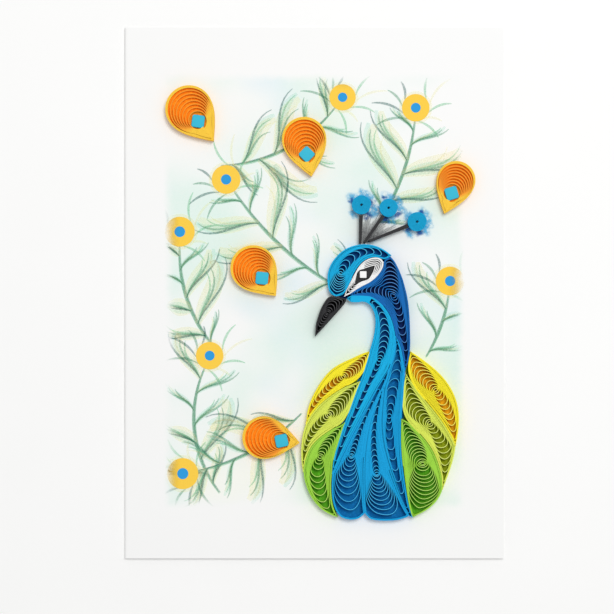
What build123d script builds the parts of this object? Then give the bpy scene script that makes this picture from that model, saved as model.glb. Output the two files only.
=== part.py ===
"""A quilled paper greeting card: a peacock and five loose feather eyes on a folded card.

Every quilled piece is one paper strip, wound on edge into a coil, let loose and pinched to
shape, then glued on edge to the card. Along a coil's sides its turns lie tight on each other
and stand as one band. Towards each end they spread, and leave a row of arched gaps.
The card lies on its back leaf: X runs across the card, Y up the picture, Z out of it.
Units are millimetres.
"""

from build123d import *
import os
from math import cos, pi, radians, sin

# Card: one sheet, folded once along its left edge
card_width = 127.0
card_height = 177.8
card_stock = 0.4
fold_gap = 0.8

# Quilling paper: how wide the strip is, the wall that a loose turn makes, and the
# line of glue between two pieces that stand side by side
strip_width = 3.2
paper = 0.22
glue_line = 0.1

# How the turns of a pinched coil lie: the outer turns that stay tight all round, the coil's
# eye, how much closer to each other the arches come towards the eye, and how late the
# turns of a tight band let go beside it
border = 0.8
eye_radius = 0.6
crowding = 1.35
loosening = 4

# A gap that is narrower or thinner than this is left closed, and half of an arch that has
# no room left between its band and the lobe's axis keeps this
smallest_gap = 0.46
smallest_width = 0.7
smallest_half = 0.02

# Where the chords of an arch meet, by its width. Angle 0 is its middle and 90 its widest place
wide_arch = 1.3
widest_arch = 4.8
narrow_angles = [0]
wide_angles = [-36, 36]
widest_angles = [-57, -19, 19, 57]
foot_angle = 80

# Steps along the axis of a coil's end
spine_steps = 24

# How far a chord may leave the curve that it stands for
flatness = 0.05
drop_flatness = 0.1

# Crest
stem_width = 0.9
disc_hole = 0.35
disc_sides = 20
hole_sides = 6

# Feather eyes
drop_rim = 1.4
drop_turns = 6
hollow_radius = 2.85
square_size = 4.2
square_corner = 0.6
square_height = 3.0

# Eye of the bird
eye_rim = 0.55
eye_tip_rim = 0.3
pupil_size = 2.3
pupil_corner = 0.3

card_front = 2 * card_stock + fold_gap


# Lines are lists of points, and a point is a complex number: x + y j

def curve(*drawn):
    """The smooth line through the drawn points, with one more point halfway to each next."""
    points = [complex(*point) for point in drawn]
    points = [2 * points[0] - points[1]] + points + [2 * points[-1] - points[-2]]
    line = []
    for before, start, end, after in zip(points, points[1:], points[2:], points[3:]):
        line += [start, (9 * (start + end) - before - after) / 16]
    return line + [points[-2]]


def stretch(line, first, last):
    """The part of a line from one drawn point to another, by their numbers."""
    return line[2 * first:2 * last + 1]


def join(*lines):
    """One line out of several that follow each other."""
    whole = list(lines[0])
    for line in lines[1:]:
        whole += line[1:] if abs(line[0] - whole[-1]) < 0.01 else line
    return whole


def along(line, share):
    """The point at a share of the way along a line."""
    lengths = [abs(b - a) for a, b in zip(line, line[1:])]
    rest = share * sum(lengths)
    for a, b, length in zip(line, line[1:], lengths):
        if rest <= length:
            return a + (b - a) * rest / length
        rest -= length
    return line[-1]


def nearest(line, point):
    """The share of the way along a line at which it comes nearest to a point."""
    shares = [step / 80 for step in range(81)]
    return min(shares, key=lambda share: abs(along(line, share) - point))


def thin(line, flatness):
    """A line without the points that lie within a flatness of its chords."""
    start, chord = line[0], line[-1] - line[0]
    off = [abs(((point - start) * chord.conjugate()).imag) / abs(chord) for point in line]
    far = off.index(max(off))
    if len(line) < 3 or off[far] < flatness:
        return [start, line[-1]]
    return thin(line[:far + 1], flatness)[:-1] + thin(line[far:], flatness)


def inset(outline, amount):
    """A closed outline, moved inwards. Its points run clockwise or not."""
    area = sum((a.conjugate() * b).imag for a, b in zip(outline, outline[1:] + outline[:1]))
    turn = 1j if area > 0 else -1j
    moved = []
    for before, here, after in zip(outline[-1:] + outline[:-1], outline, outline[1:] + outline[:1]):
        first = (here - before) / abs(here - before) * turn
        second = (after - here) / abs(after - here) * turn
        middle = first + second
        reach = 2 / max(abs(middle) ** 2, 0.12)
        moved.append(here + middle * amount * reach)
    return moved


def ring_outline(centre, radius, sides):
    """A regular ring of points round a centre."""
    angles = [2 * pi * n / sides for n in range(sides)]
    return [centre + radius * complex(cos(angle), sin(angle)) for angle in angles]


def square_outline(centre, size, corner, tilt):
    """A square with its corners cut off, turned by a tilt in degrees."""
    turn = complex(cos(radians(tilt)), sin(radians(tilt)))
    far, near = size / 2, size / 2 - corner
    points = []
    for quarter in range(4):
        points += [centre + turn * 1j ** quarter * complex(far, side) for side in (-near, near)]
    return points


# Solids

def block(outline, holes, height):
    """A closed outline with holes, raised from the front of the card."""
    face = make_face(Polyline(*[(p.real, p.imag) for p in outline], close=True))
    for hole in holes:
        face -= make_face(Polyline(*[(p.real, p.imag) for p in hole], close=True))
    return Pos(0, 0, card_front) * extrude(face, height)


class Lobe:
    """One end of a pinched coil: its turns stand in arches between its two sides.

    A share q runs from 0 at the tip to 1 beside the coil's eye. Hand -1 is the side that
    arrives at the tip and hand 1 the side that leaves it. Turn 0 is the outermost loose one.
    """

    def __init__(self, arriving, leaving, eye, turns, opens=None, pitch=None, border=border):
        self.lines = {-1: arriving[::-1], 1: leaving}
        self.shares = {hand: nearest(line, eye) for hand, line in self.lines.items()}
        self.turns, self.border = turns, border
        self.lean = eye - (self.wall(-1, 1) + self.wall(1, 1)) / 2
        spine = [self.axis(step / spine_steps) for step in range(spine_steps + 1)]
        self.reached = [0]
        for a, b in zip(spine, spine[1:]):
            self.reached.append(self.reached[-1] + abs(b - a))
        self.length = self.reached[-1]
        room = {hand: abs(self.wall(hand, 1) - eye) - border - eye_radius for hand in (-1, 1)}
        self.pitch = {hand: pitch or room[hand] / turns for hand in (-1, 1)}
        self.spread = {hand: room[hand] - self.pitch[hand] * turns for hand in (-1, 1)}
        widths = [abs(self.wall(1, step / spine_steps) - point) for step, point in enumerate(spine)]
        wide = [step for step, width in enumerate(widths) if width > border + smallest_width / 2]
        first_wide = wide[0] if wide else spine_steps
        self.opens = opens or max(border, self.reached[first_wide])

    def wall(self, hand, q):
        return along(self.lines[hand], q * self.shares[hand])

    def axis(self, q):
        return (self.wall(-1, q) + self.wall(1, q)) / 2 + self.lean * q * q

    def share(self, distance):
        """The share q at a distance from the tip, measured along the axis."""
        for step, (near, far) in enumerate(zip(self.reached, self.reached[1:])):
            if distance < far:
                return (step + (distance - near) / (far - near)) / spine_steps
        return 1

    def apex(self, turn):
        """How far from the tip the middle of a turn's arch stands."""
        open_length = self.length - eye_radius - self.opens
        return self.opens + open_length * (1 - (1 - turn / self.turns) ** crowding)

    def half_width(self, hand, turn, shift, q):
        """From the lobe's axis to a turn, on one side. A shift moves the turn inwards."""
        loose = self.spread[hand] * (turn / self.turns) ** loosening * q * q
        band = self.border + self.pitch[hand] * turn + loose + shift
        return max(abs(self.wall(hand, q) - self.axis(q)) - band, smallest_half)

    def arch(self, hand, turn, shift, angle):
        """A point of a turn's arch: 0 is its middle, 90 its foot on one side."""
        top = self.apex(turn) + shift
        q = self.share(top + self.half_width(hand, turn, shift, self.share(top)))
        depth = min(self.half_width(hand, turn, shift, q), self.length - top)
        q = self.share(top + depth * (1 - cos(radians(angle))))
        spoke = self.wall(hand, q) - self.axis(q)
        aside = self.half_width(hand, turn, shift, q) * sin(radians(angle))
        return self.axis(q) + spoke / abs(spoke) * aside

    def width(self, turn, shift=0):
        return abs(self.arch(1, turn, shift, foot_angle) - self.arch(-1, turn, shift, foot_angle))

    def chords(self, turn, shift):
        """A turn's arch without its feet, from hand -1 to hand 1."""
        width = self.width(turn)
        angles = widest_angles
        if width < widest_arch:
            angles = wide_angles
        if width < wide_arch:
            angles = narrow_angles
        return [self.arch(1 if angle > 0 else -1, turn, shift, abs(angle)) for angle in angles]

    def foot(self, hand, turn):
        """Where two turns part on one side: halfway between the feet of their arches."""
        outer = self.arch(hand, turn, paper / 2, foot_angle)
        inner = self.arch(hand, turn + 1, -paper / 2, foot_angle)
        return (outer + inner) / 2

    def gaps(self):
        """The gaps between the turns that stand far enough apart."""
        found = []
        for turn in range(self.turns):
            opening = self.apex(turn + 1) - self.apex(turn) - paper
            if opening > smallest_gap and self.width(turn + 1, -paper / 2) > smallest_width:
                rise = self.chords(turn, paper / 2)
                fall = self.chords(turn + 1, -paper / 2)[::-1]
                found.append([self.foot(-1, turn)] + rise + [self.foot(1, turn)] + fall)
        return found


def coil_gaps(eye, turns, sides, opens=None, pitch=None):
    """The gaps between a coil's turns. Each side runs from one tip to the next."""
    opens = opens or [None] * len(sides)
    gaps = []
    for n, side in enumerate(sides):
        gaps += Lobe(sides[n - 1], side, complex(*eye), turns, opens[n], pitch).gaps()
    return gaps


def coil(plan):
    """A coil pinched to the outline that its sides make."""
    outline = join(*[thin(side, flatness) for side in plan["sides"]])[:-1]
    return block(inset(outline, glue_line / 2), coil_gaps(**plan), strip_width)


def nested_gaps(rim, hollow, turns):
    """The gaps between turns that go over evenly from a rim to a hollow, point for point."""
    count = len(rim)
    gaps = []
    for number in range(turns):
        outer, inner, open_at = [], [], []
        for n, (a, b) in enumerate(zip(rim, hollow)):
            step = (b - a) / turns
            skin = step / abs(step) * paper / 2
            outer.append(a + step * number + skin)
            inner.append(a + step * (number + 1) - skin)
            ahead = rim[(n + 1) % count] - rim[n - 1]
            across = abs((step * ahead.conjugate()).imag) / abs(ahead)
            open_at.append(across > paper + smallest_gap)
        starts = [n for n in range(count) if open_at[n] and not open_at[n - 1]]
        for start in starts:
            length = [open_at[(start + n) % count] for n in range(count)].index(False)
            run = [(start + n) % count for n in range(length)]
            if length < 3:
                continue
            before, after = run[0] - 1, (run[-1] + 1) % count
            first = (outer[before] + inner[before]) / 2
            last = (outer[after] + inner[after]) / 2
            gaps.append([first] + [outer[n] for n in run] + [last] + [inner[n] for n in run[::-1]])
    return gaps


# Lines that two coils share, or that bound one, from the head down

eye_top = curve((9.9, -1.3), (10.5, 0.6), (11.4, 2.4), (12.4, 4.5), (13.4, 6.6), (14.7, 8.7),
                (16.3, 10.4), (18.3, 11.5), (20.4, 11.9), (22.2, 11.5), (23.2, 10.3))
eye_low = curve((9.9, -1.3), (11.8, -0.4), (13.6, 0.8), (16.0, 2.2), (18.4, 3.4), (20.4, 4.9),
                (22.0, 6.8), (23.0, 8.7), (23.2, 10.3))
crown_outer = curve((7.4, -1.15), (5.6, -0.4), (4.7, 1.8), (4.45, 5.0), (4.95, 8.1), (6.6, 11.1),
                    (9.1, 13.7), (12.2, 15.4), (16.0, 16.15), (19.9, 15.8), (23.1, 14.4), (25.7, 12.5))
crown_tip_low = curve((25.7, 12.5), (24.0, 12.2), (22.2, 12.1), (20.4, 11.9))
crown_foot = curve((10.5, 0.6), (9.2, -0.7), (7.4, -1.15))
nape_peak = curve((23.2, 10.3), (24.0, 11.4), (25.3, 12.1))
nape_outer = curve((25.3, 12.1), (26.7, 10.5), (28.0, 7.9), (29.1, 5.0), (30.0, 1.6), (30.7, -2.0),
                   (31.15, -6.0), (31.35, -10.0), (31.3, -14.0), (31.1, -18.0), (30.8, -22.0),
                   (30.3, -25.9))
neck_back = curve((12.6, -0.9), (14.4, -0.9), (16.6, -1.0), (19.0, -1.3), (21.2, -2.7), (23.2, -4.6),
                  (24.8, -6.9), (25.9, -9.4), (26.6, -12.0), (27.0, -14.3))
nape_tail = curve((27.0, -14.3), (28.2, -16.4), (29.0, -18.8), (29.5, -21.4), (29.9, -23.8), (30.3, -25.9))
neck_front = curve((10.9, -1.9), (12.3, -3.0), (14.4, -3.1), (16.6, -2.9), (18.5, -3.9), (19.8, -5.9),
                   (20.4, -8.5), (20.4, -11.5), (19.9, -14.5), (19.2, -17.2), (18.4, -19.8), (17.5, -23.0),
                   (16.5, -26.2), (15.3, -29.5), (14.0, -32.8), (12.8, -36.2), (11.5, -39.8), (10.2, -43.2),
                   (9.0, -46.8), (8.0, -50.0), (7.0, -53.2), (6.3, -56.6), (6.0, -60.4))
neck_and_tip = curve((27.0, -14.3), (26.9, -17.0), (26.5, -19.8), (25.8, -22.6), (24.9, -25.2))
neck_and_left = curve((24.9, -25.2), (23.3, -27.8), (21.4, -30.6), (19.6, -33.7), (17.8, -37.0),
                      (15.9, -40.5), (14.0, -44.0), (12.2, -47.4), (10.5, -50.8), (8.9, -54.2),
                      (7.4, -57.4), (6.0, -60.4))
left_and_right = curve((24.9, -25.2), (24.4, -27.4), (23.7, -29.6), (22.9, -31.6))
left_and_middle = curve((22.9, -31.6), (21.6, -34.2), (20.4, -36.9), (19.3, -39.8), (18.3, -43.0),
                        (17.5, -46.5), (16.9, -50.3), (16.5, -54.3), (16.3, -58.5), (16.3, -63.0),
                        (16.4, -67.5), (16.6, -70.9), (16.9, -73.5))
left_outer = curve((6.0, -60.4), (5.85, -63.5), (5.9, -67.0), (6.4, -70.2), (7.5, -73.0), (9.3, -74.9),
                   (12.1, -75.6))
left_foot = curve((12.1, -75.6), (14.6, -75.2), (16.9, -73.5))
middle_and_right = curve((22.9, -31.6), (22.6, -35.0), (22.2, -39.0), (22.0, -43.0), (22.2, -47.0),
                         (22.8, -51.0), (23.8, -55.0), (25.0, -59.0), (26.4, -63.0), (27.9, -67.0),
                         (29.6, -70.8), (31.6, -74.3))
middle_foot = curve((16.9, -73.5), (18.6, -75.2), (21.2, -75.8), (24.2, -75.9), (27.2, -75.7),
                    (29.8, -75.1), (31.6, -74.3))
right_outer = curve((30.3, -25.9), (30.0, -30.0), (29.7, -34.0), (29.4, -38.0), (29.1, -42.0),
                    (29.0, -46.0), (29.0, -50.0), (29.2, -54.0), (29.6, -58.0), (30.1, -62.0),
                    (30.7, -66.0), (31.4, -70.0), (32.2, -73.2), (32.8, -74.8))

left_yellow_outer = curve((18.2, -19.6), (15.6, -20.5), (12.6, -21.9), (9.3, -23.4), (6.2, -25.3),
                          (3.6, -27.9), (1.4, -31.1), (-0.6, -34.8), (-2.1, -38.9), (-2.8, -43.9))
left_yellow_and_lime = curve((16.5, -26.2), (15.0, -28.2), (12.9, -29.9), (10.2, -31.4), (7.0, -33.3),
                             (3.8, -35.6), (1.0, -38.2), (-1.2, -41.0), (-2.8, -43.9))
left_lime_outer = curve((-2.8, -43.9), (-3.7, -47.0), (-4.2, -50.5), (-4.3, -54.0), (-4.1, -57.2),
                        (-3.6, -59.8))
left_lime_and_green = curve((11.5, -39.8), (9.5, -43.0), (6.6, -45.1), (3.9, -46.8), (1.3, -48.8),
                            (-0.9, -51.2), (-2.3, -54.0), (-3.2, -57.0), (-3.6, -59.8))
left_green_outer = curve((-3.6, -59.8), (-3.2, -62.4), (-2.2, -65.5), (-0.8, -68.3), (1.1, -70.8),
                         (3.2, -72.6), (5.6, -73.9), (7.8, -74.7))
left_green_and_foot = curve((6.0, -60.4), (5.75, -63.5), (5.8, -67.0), (6.2, -70.4), (7.0, -73.0),
                            (7.8, -74.7))

right_yellow_outer = curve((32.2, -19.6), (34.4, -21.0), (37.0, -22.9), (39.8, -25.1), (42.5, -27.7),
                           (44.9, -30.8), (46.8, -34.4), (47.9, -38.2), (48.2, -42.2), (47.9, -46.4),
                           (47.1, -51.0))
right_yellow_and_lime = curve((32.2, -19.6), (31.6, -22.0), (31.3, -24.6), (31.6, -27.2), (32.6, -29.9),
                              (34.2, -32.5), (36.3, -35.1), (38.5, -37.7), (40.7, -40.4), (42.7, -43.1),
                              (44.5, -45.9), (46.0, -48.6), (47.1, -51.0))
right_lime_outer = curve((47.1, -51.0), (46.6, -54.0), (45.8, -57.0), (44.8, -60.0), (43.8, -62.8),
                         (42.7, -65.6))
right_lime_and_green = curve((29.4, -38.0), (30.1, -40.8), (31.6, -43.3), (33.5, -45.4), (35.5, -47.4),
                             (37.4, -49.6), (39.1, -52.1), (40.5, -54.9), (41.6, -58.1), (42.4, -61.6),
                             (42.7, -65.6))
right_green_outer = curve((42.7, -65.6), (41.4, -68.4), (39.3, -70.8), (36.9, -72.6), (34.6, -73.8),
                          (33.0, -74.6))

# Coils by name: the eye, the loose turns, how far from each tip the first gap opens (or None
# where the width says), and the sides from tip to tip
coils = {
    "beak_coil": dict(eye=(4.6, -6.6), turns=7, sides=[
        curve((10.7, -2.0), (8.4, -1.5), (5.2, -1.25), (3.5, -3.0), (2.2, -5.4), (1.2, -8.2), (0.5, -11.2),
              (0.4, -14.4)),
        curve((0.4, -14.4), (2.1, -12.7), (4.3, -10.3), (6.5, -7.8), (8.7, -5.3), (10.3, -3.3),
              (10.7, -2.0)),
    ]),
    "crown_coil": dict(eye=(8.9, 6.7), turns=9, opens=(1.4, None), sides=[
        crown_outer,
        join(crown_tip_low, stretch(eye_top, 1, 8)[::-1], crown_foot),
    ]),
    "nape_coil": dict(eye=(26.6, -1.2), turns=10, pitch=0.22, sides=[
        join(curve((11.8, -0.4), (12.7, 0.1), (13.6, 0.8)), stretch(eye_low, 2, 8), nape_peak),
        nape_outer,
        join(nape_tail[::-1], neck_back[::-1], curve((12.6, -0.9), (11.8, -0.4))),
    ]),
    "neck_coil": dict(eye=(21.7, -22.4), turns=12, opens=(8.2, None), sides=[
        neck_front,
        join(neck_and_left[::-1], neck_and_tip[::-1], neck_back[::-1],
             curve((12.6, -0.9), (11.6, -1.3), (10.9, -1.9))),
    ]),
    "left_breast_coil": dict(eye=(12.3, -54.4), turns=10, opens=(None, 2.3), sides=[
        join(neck_and_left, left_outer),
        join(left_foot, left_and_middle[::-1], left_and_right[::-1]),
    ]),
    "middle_breast_coil": dict(eye=(20.8, -60.4), turns=9, opens=(None, 2.3), sides=[
        join(left_and_middle, stretch(middle_foot, 0, 3)),
        join(stretch(middle_foot, 3, 6), middle_and_right[::-1]),
    ]),
    "right_breast_coil": dict(eye=(24.9, -41.3), turns=9, sides=[
        join(neck_and_tip, left_and_right, middle_and_right, curve((31.6, -74.3), (32.8, -74.8))),
        join(right_outer[::-1], nape_tail[::-1]),
    ]),
    "left_yellow_coil": dict(eye=(9.6, -28.1), turns=10, sides=[
        left_yellow_outer,
        join(left_yellow_and_lime[::-1], stretch(neck_front, 10, 12)[::-1]),
    ]),
    "left_lime_coil": dict(eye=(4.8, -40.7), turns=11, sides=[
        join(curve((15.3, -29.5), (13.4, -30.2), (10.2, -31.4)), stretch(left_yellow_and_lime, 3, 8),
             left_lime_outer),
        join(left_lime_and_green[::-1], stretch(neck_front, 13, 16)[::-1]),
    ]),
    "left_green_coil": dict(eye=(1.9, -54.8), turns=10, sides=[
        join(curve((10.2, -43.2), (8.8, -44.2), (6.6, -45.1)), stretch(left_lime_and_green, 2, 8),
             left_green_outer),
        join(left_green_and_foot[::-1], stretch(neck_front, 17, 22)[::-1]),
    ]),
    "right_yellow_coil": dict(eye=(40.5, -32.4), turns=10, sides=[
        right_yellow_outer,
        right_yellow_and_lime[::-1],
    ]),
    "right_lime_coil": dict(eye=(38.5, -43.3), turns=11, pitch=0.24, sides=[
        join(curve((30.7, -27.2), (31.4, -28.3), (32.6, -29.9)), stretch(right_yellow_and_lime, 4, 12),
             right_lime_outer),
        join(right_lime_and_green[::-1], curve((29.4, -38.0), (29.7, -34.0), (30.0, -30.0), (30.7, -27.2))),
    ]),
    "right_green_coil": dict(eye=(36.2, -57.0), turns=10, pitch=0.22, opens=(None, 2.4), sides=[
        join(curve((29.1, -42.0), (30.3, -42.6), (31.6, -43.3)), stretch(right_lime_and_green, 2, 10),
             right_green_outer),
        join([complex(33.0, -74.6)], stretch(right_outer, 4, 13)[::-1]),
    ]),
}


def quilled_coils():
    """Every coil of the bird that is wound round an eye of its own."""
    return {name: coil(plan) for name, plan in coils.items()}


def folded_card():
    """One sheet bent double: its section, raised along the fold."""
    outer, inner = card_front / 2, fold_gap / 2
    fold = -card_width / 2 + outer
    edge = card_width / 2
    with BuildSketch(Plane.XZ) as section:
        with BuildLine():
            Line((edge, 0), (fold, 0))
            ThreePointArc((fold, 0), (fold - outer, outer), (fold, card_front))
            Line((fold, card_front), (edge, card_front))
            Line((edge, card_front), (edge, card_front - card_stock))
            Line((edge, card_front - card_stock), (fold, card_front - card_stock))
            ThreePointArc((fold, card_front - card_stock), (fold - inner, outer), (fold, card_stock))
            Line((fold, card_stock), (edge, card_stock))
            Line((edge, card_stock), (edge, 0))
        make_face()
    return extrude(section.sketch, card_height / 2, both=True)


# Eye of the bird: a white coil round a black one round a white square
lens_top = curve((12.9, 2.0), (13.9, 4.9), (14.9, 7.3), (17.2, 8.1), (20.0, 9.1))
lens_low = curve((12.9, 2.0), (15.5, 3.9), (17.9, 4.7), (19.2, 6.7), (20.0, 9.1))
pupil_centre = complex(16.3, 6.1)
eye_turns = 4
eye_tip_turns = 3


def eye_of_the_bird():
    eye_back = eye_low[::-1]
    outline = join(thin(eye_top, flatness), thin(eye_back, flatness))[:-1]
    lens = join(thin(lens_top, flatness), thin(lens_low[::-1], flatness))[:-1]
    back_lobe = Lobe(eye_top, eye_back, lens_top[-1], eye_turns, opens=0.7, pitch=0.12, border=eye_rim)
    tip_lobe = Lobe(eye_back, eye_top, lens_top[0], eye_tip_turns, opens=1.0, border=eye_tip_rim)
    holes = [inset(lens, -glue_line)] + back_lobe.gaps() + tip_lobe.gaps()
    pupil = square_outline(pupil_centre, pupil_size, pupil_corner, 0)
    return {
        "eye_white_coil": block(inset(outline, glue_line / 2), holes, strip_width),
        "eye_black_coil": block(lens, [inset(pupil, -glue_line)], strip_width),
        "eye_white_square": block(pupil, [], strip_width),
    }


# Crest: three stems that fan out from the crown, each with a tight disc at its end. For
# each, the foot of the stem, the centre of the disc and its radius
crest = [
    ((15.35, 16.5), (15.75, 29.3), 3.3),
    ((16.7, 16.75), (24.8, 28.3), 3.15),
    ((18.3, 17.2), (34.3, 23.7), 3.3),
]


def crest_pieces():
    pieces = {}
    for number, (foot, centre, radius) in enumerate(crest, 1):
        foot, centre = complex(*foot), complex(*centre)
        ray = (centre - foot) / abs(centre - foot)
        side = ray * 1j * stem_width / 2
        top = centre - ray * (radius + glue_line)
        stem = [foot - side, top - side, top + side, foot + side]
        pieces[f"crest_stem_{number}"] = block(stem, [], strip_width)
        disc = ring_outline(centre, radius, disc_sides)
        hole = ring_outline(centre, disc_hole, hole_sides)
        pieces[f"crest_disc_{number}"] = block(disc, [hole], strip_width)
    return pieces


# Feather eyes: centre and radius of the round end, the tip, and the square with its tilt
drops = [
    ((-41.8, 61.3), 8.0, (-33.6, 50.5), (-38.7, 57.2), -8),
    ((-3.4, 51.3), 7.5, (-1.0, 38.7), (-2.5, 46.2), 45),
    ((47.3, 37.6), 6.5, (43.3, 26.3), (45.8, 33.2), 17),
    ((-20.4, 8.3), 7.7, (-12.8, -1.2), (-17.4, 4.9), -6),
    ((-17.0, -48.3), 7.1, (-4.8, -50.1), (-10.9, -49.3), 12),
]
drop_points = 12


def drop_outline(centre, radius, tip):
    """Two bowed sides that meet in a tip, and a round end between them. The tip comes first."""
    reach = abs(tip - centre)
    ahead = (tip - centre) / reach
    line = []
    for n in range(-drop_points, drop_points):
        turned = pi * n / drop_points
        side = 1 if n > 0 else -1
        if cos(turned) > 0:
            place = complex(-cos(turned), sin(turned)) * radius
        else:
            place = complex(-cos(turned) * reach, side * radius * cos(pi / 2 * cos(turned)))
        line.append(centre + ahead * place)
    return line


def drop_hollow(square, ahead):
    """The ring round a drop's square, point for point with the drop's outline."""
    angles = [pi * n / drop_points for n in range(-drop_points, drop_points)]
    return [square + ahead * hollow_radius * complex(-cos(angle), sin(angle)) for angle in angles]


def feather_eyes():
    pieces = {}
    for number, (centre, radius, tip, square, tilt) in enumerate(drops, 1):
        centre, tip, square = complex(*centre), complex(*tip), complex(*square)
        outline = drop_outline(centre, radius, tip)
        ahead = (tip - centre) / abs(tip - centre)
        hollow = drop_hollow(square, ahead)[::2]
        gaps = nested_gaps(inset(outline, drop_rim)[::2], hollow, drop_turns)
        halves = outline[:drop_points + 1], outline[drop_points:] + outline[:1]
        thin_outline = join(*[thin(half, drop_flatness) for half in halves])[:-1]
        holes = [inset(hollow, paper / 2)] + gaps
        pieces[f"feather_drop_{number}"] = block(thin_outline, holes, strip_width)
        middle = square_outline(square, square_size, square_corner, tilt)
        pieces[f"feather_square_{number}"] = block(middle, [], square_height)
    return pieces


def build_all():
    pieces = {"folded_card": folded_card()}
    pieces |= quilled_coils()
    pieces |= eye_of_the_bird()
    pieces |= crest_pieces()
    pieces |= feather_eyes()
    return pieces


os.makedirs("parts", exist_ok=True)
model = build_all()
for name, piece in model.items():
    export_step(piece, f"parts/{name}.step")
print(len(model), "pieces written")
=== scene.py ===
# %% [markdown]
# # A quilled paper card
#
# This lesson dresses a folded greeting card in Blender. On its front stand a crested peacock and
# five loose feather eyes, all wound from narrow strips of paper. The solids of the card and of
# every coil come from the CAD model, and the lesson starts by loading them as a fixed frame.

# %% Load the frame
from bisect import bisect
from cmath import rect
from itertools import takewhile
from math import cos, floor, pi, radians, sin

import bmesh
import bpy
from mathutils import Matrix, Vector, noise


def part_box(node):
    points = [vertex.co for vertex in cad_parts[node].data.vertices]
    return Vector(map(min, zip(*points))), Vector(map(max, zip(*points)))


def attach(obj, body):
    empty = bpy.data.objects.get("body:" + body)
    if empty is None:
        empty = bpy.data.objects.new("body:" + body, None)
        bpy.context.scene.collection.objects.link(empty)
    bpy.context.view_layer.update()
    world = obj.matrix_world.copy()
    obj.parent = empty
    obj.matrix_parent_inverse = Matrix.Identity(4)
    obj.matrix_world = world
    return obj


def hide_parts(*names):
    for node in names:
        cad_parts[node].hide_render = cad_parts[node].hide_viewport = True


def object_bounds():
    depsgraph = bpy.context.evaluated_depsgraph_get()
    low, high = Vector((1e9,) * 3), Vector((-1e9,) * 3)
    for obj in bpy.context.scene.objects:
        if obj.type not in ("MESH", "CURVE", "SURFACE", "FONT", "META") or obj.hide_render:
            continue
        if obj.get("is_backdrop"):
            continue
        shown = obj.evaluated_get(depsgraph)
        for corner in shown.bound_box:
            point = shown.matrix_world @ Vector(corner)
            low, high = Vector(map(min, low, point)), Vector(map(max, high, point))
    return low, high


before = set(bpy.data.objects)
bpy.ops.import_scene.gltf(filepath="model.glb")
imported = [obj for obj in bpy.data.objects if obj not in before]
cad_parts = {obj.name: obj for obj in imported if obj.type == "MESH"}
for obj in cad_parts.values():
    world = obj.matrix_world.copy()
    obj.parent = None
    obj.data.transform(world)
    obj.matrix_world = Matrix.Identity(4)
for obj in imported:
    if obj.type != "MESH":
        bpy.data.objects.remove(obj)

cad_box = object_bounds()
print("CAD nodes:", len(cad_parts), "box:", [round(v * 1000, 1) for v in cad_box[1] - cad_box[0]])

# %% [markdown]
# ## Where things lie
#
# The lines of this card were measured in millimetres, so the lesson keeps millimetres and turns
# them into Blender's metres only where a mesh is made. The card's front is the top of its CAD
# node, and every quilled strip stands on it, as high as the crown coil.

# %% Heights
mm = 0.001
card_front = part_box("folded_card")[1].z / mm
strip_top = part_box("crown_coil")[1].z / mm
print("front of the card at", round(card_front, 2), "mm, top of the strips at", round(strip_top, 2), "mm")

# %% [markdown]
# ## Camera, light and table
#
# The picture of such a card is taken from straight above. A long lens from 60 cm keeps the sides
# of the strips from showing too much. The light of a white room comes from everywhere, and one
# large soft lamp at the upper right gives the strips their shadows towards the lower left.

# %% Camera
view_centre = (-2.41, -4.71)
view_width = 205.6
view_distance = 600.0

camera_data = bpy.data.cameras.new("straight_down")
camera_data.sensor_width = 36.0
camera_data.lens = 36.0 * view_distance / view_width
camera_data.clip_start = 0.01
camera = bpy.data.objects.new("straight_down", camera_data)
camera.location = Vector((*view_centre, card_front + view_distance)) * mm
bpy.context.collection.objects.link(camera)
bpy.context.scene.camera = camera
print("lens", round(camera_data.lens, 1), "mm")

# %% Room light and lamp
room_light = 0.56
lamp_place = Vector((0.22, 0.34, 1.1))

world = bpy.data.worlds.new("white_room")
world.use_nodes = True
background = world.node_tree.nodes["Background"].inputs
background["Color"].default_value = (1.0, 1.0, 1.0, 1.0)
background["Strength"].default_value = room_light
bpy.context.scene.world = world
lamp_data = bpy.data.lights.new("soft_lamp", "AREA")
lamp_data.size = 0.4
lamp_data.energy = 6.6
lamp = bpy.data.objects.new("soft_lamp", lamp_data)
lamp.location = lamp_place
lamp.rotation_euler = (-lamp_place).to_track_quat("-Z", "Y").to_euler()
bpy.context.collection.objects.link(lamp)
bpy.context.scene.view_settings.view_transform = "Standard"
print("lamp at", tuple(lamp.location), "with", lamp_data.energy, "watts")

# %% Table
table = bmesh.new()
bmesh.ops.create_grid(table, x_segments=1, y_segments=1, size=1.2)
bmesh.ops.translate(table, verts=table.verts, vec=(0, 0, -0.00005))
table_mesh = bpy.data.meshes.new("pale_table")
table.to_mesh(table_mesh)
table.free()
table_top = bpy.data.objects.new("pale_table", table_mesh)
bpy.context.collection.objects.link(table_top)
table_top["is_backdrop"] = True
print("table:", table_top.name)

# %% [markdown]
# ## Writing shaders as sums
#
# Paper needs several small patterns added up. Wiring Math nodes by hand hides the sum, so one
# small class stands for a node's output and lets Python's own signs join them.

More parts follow.
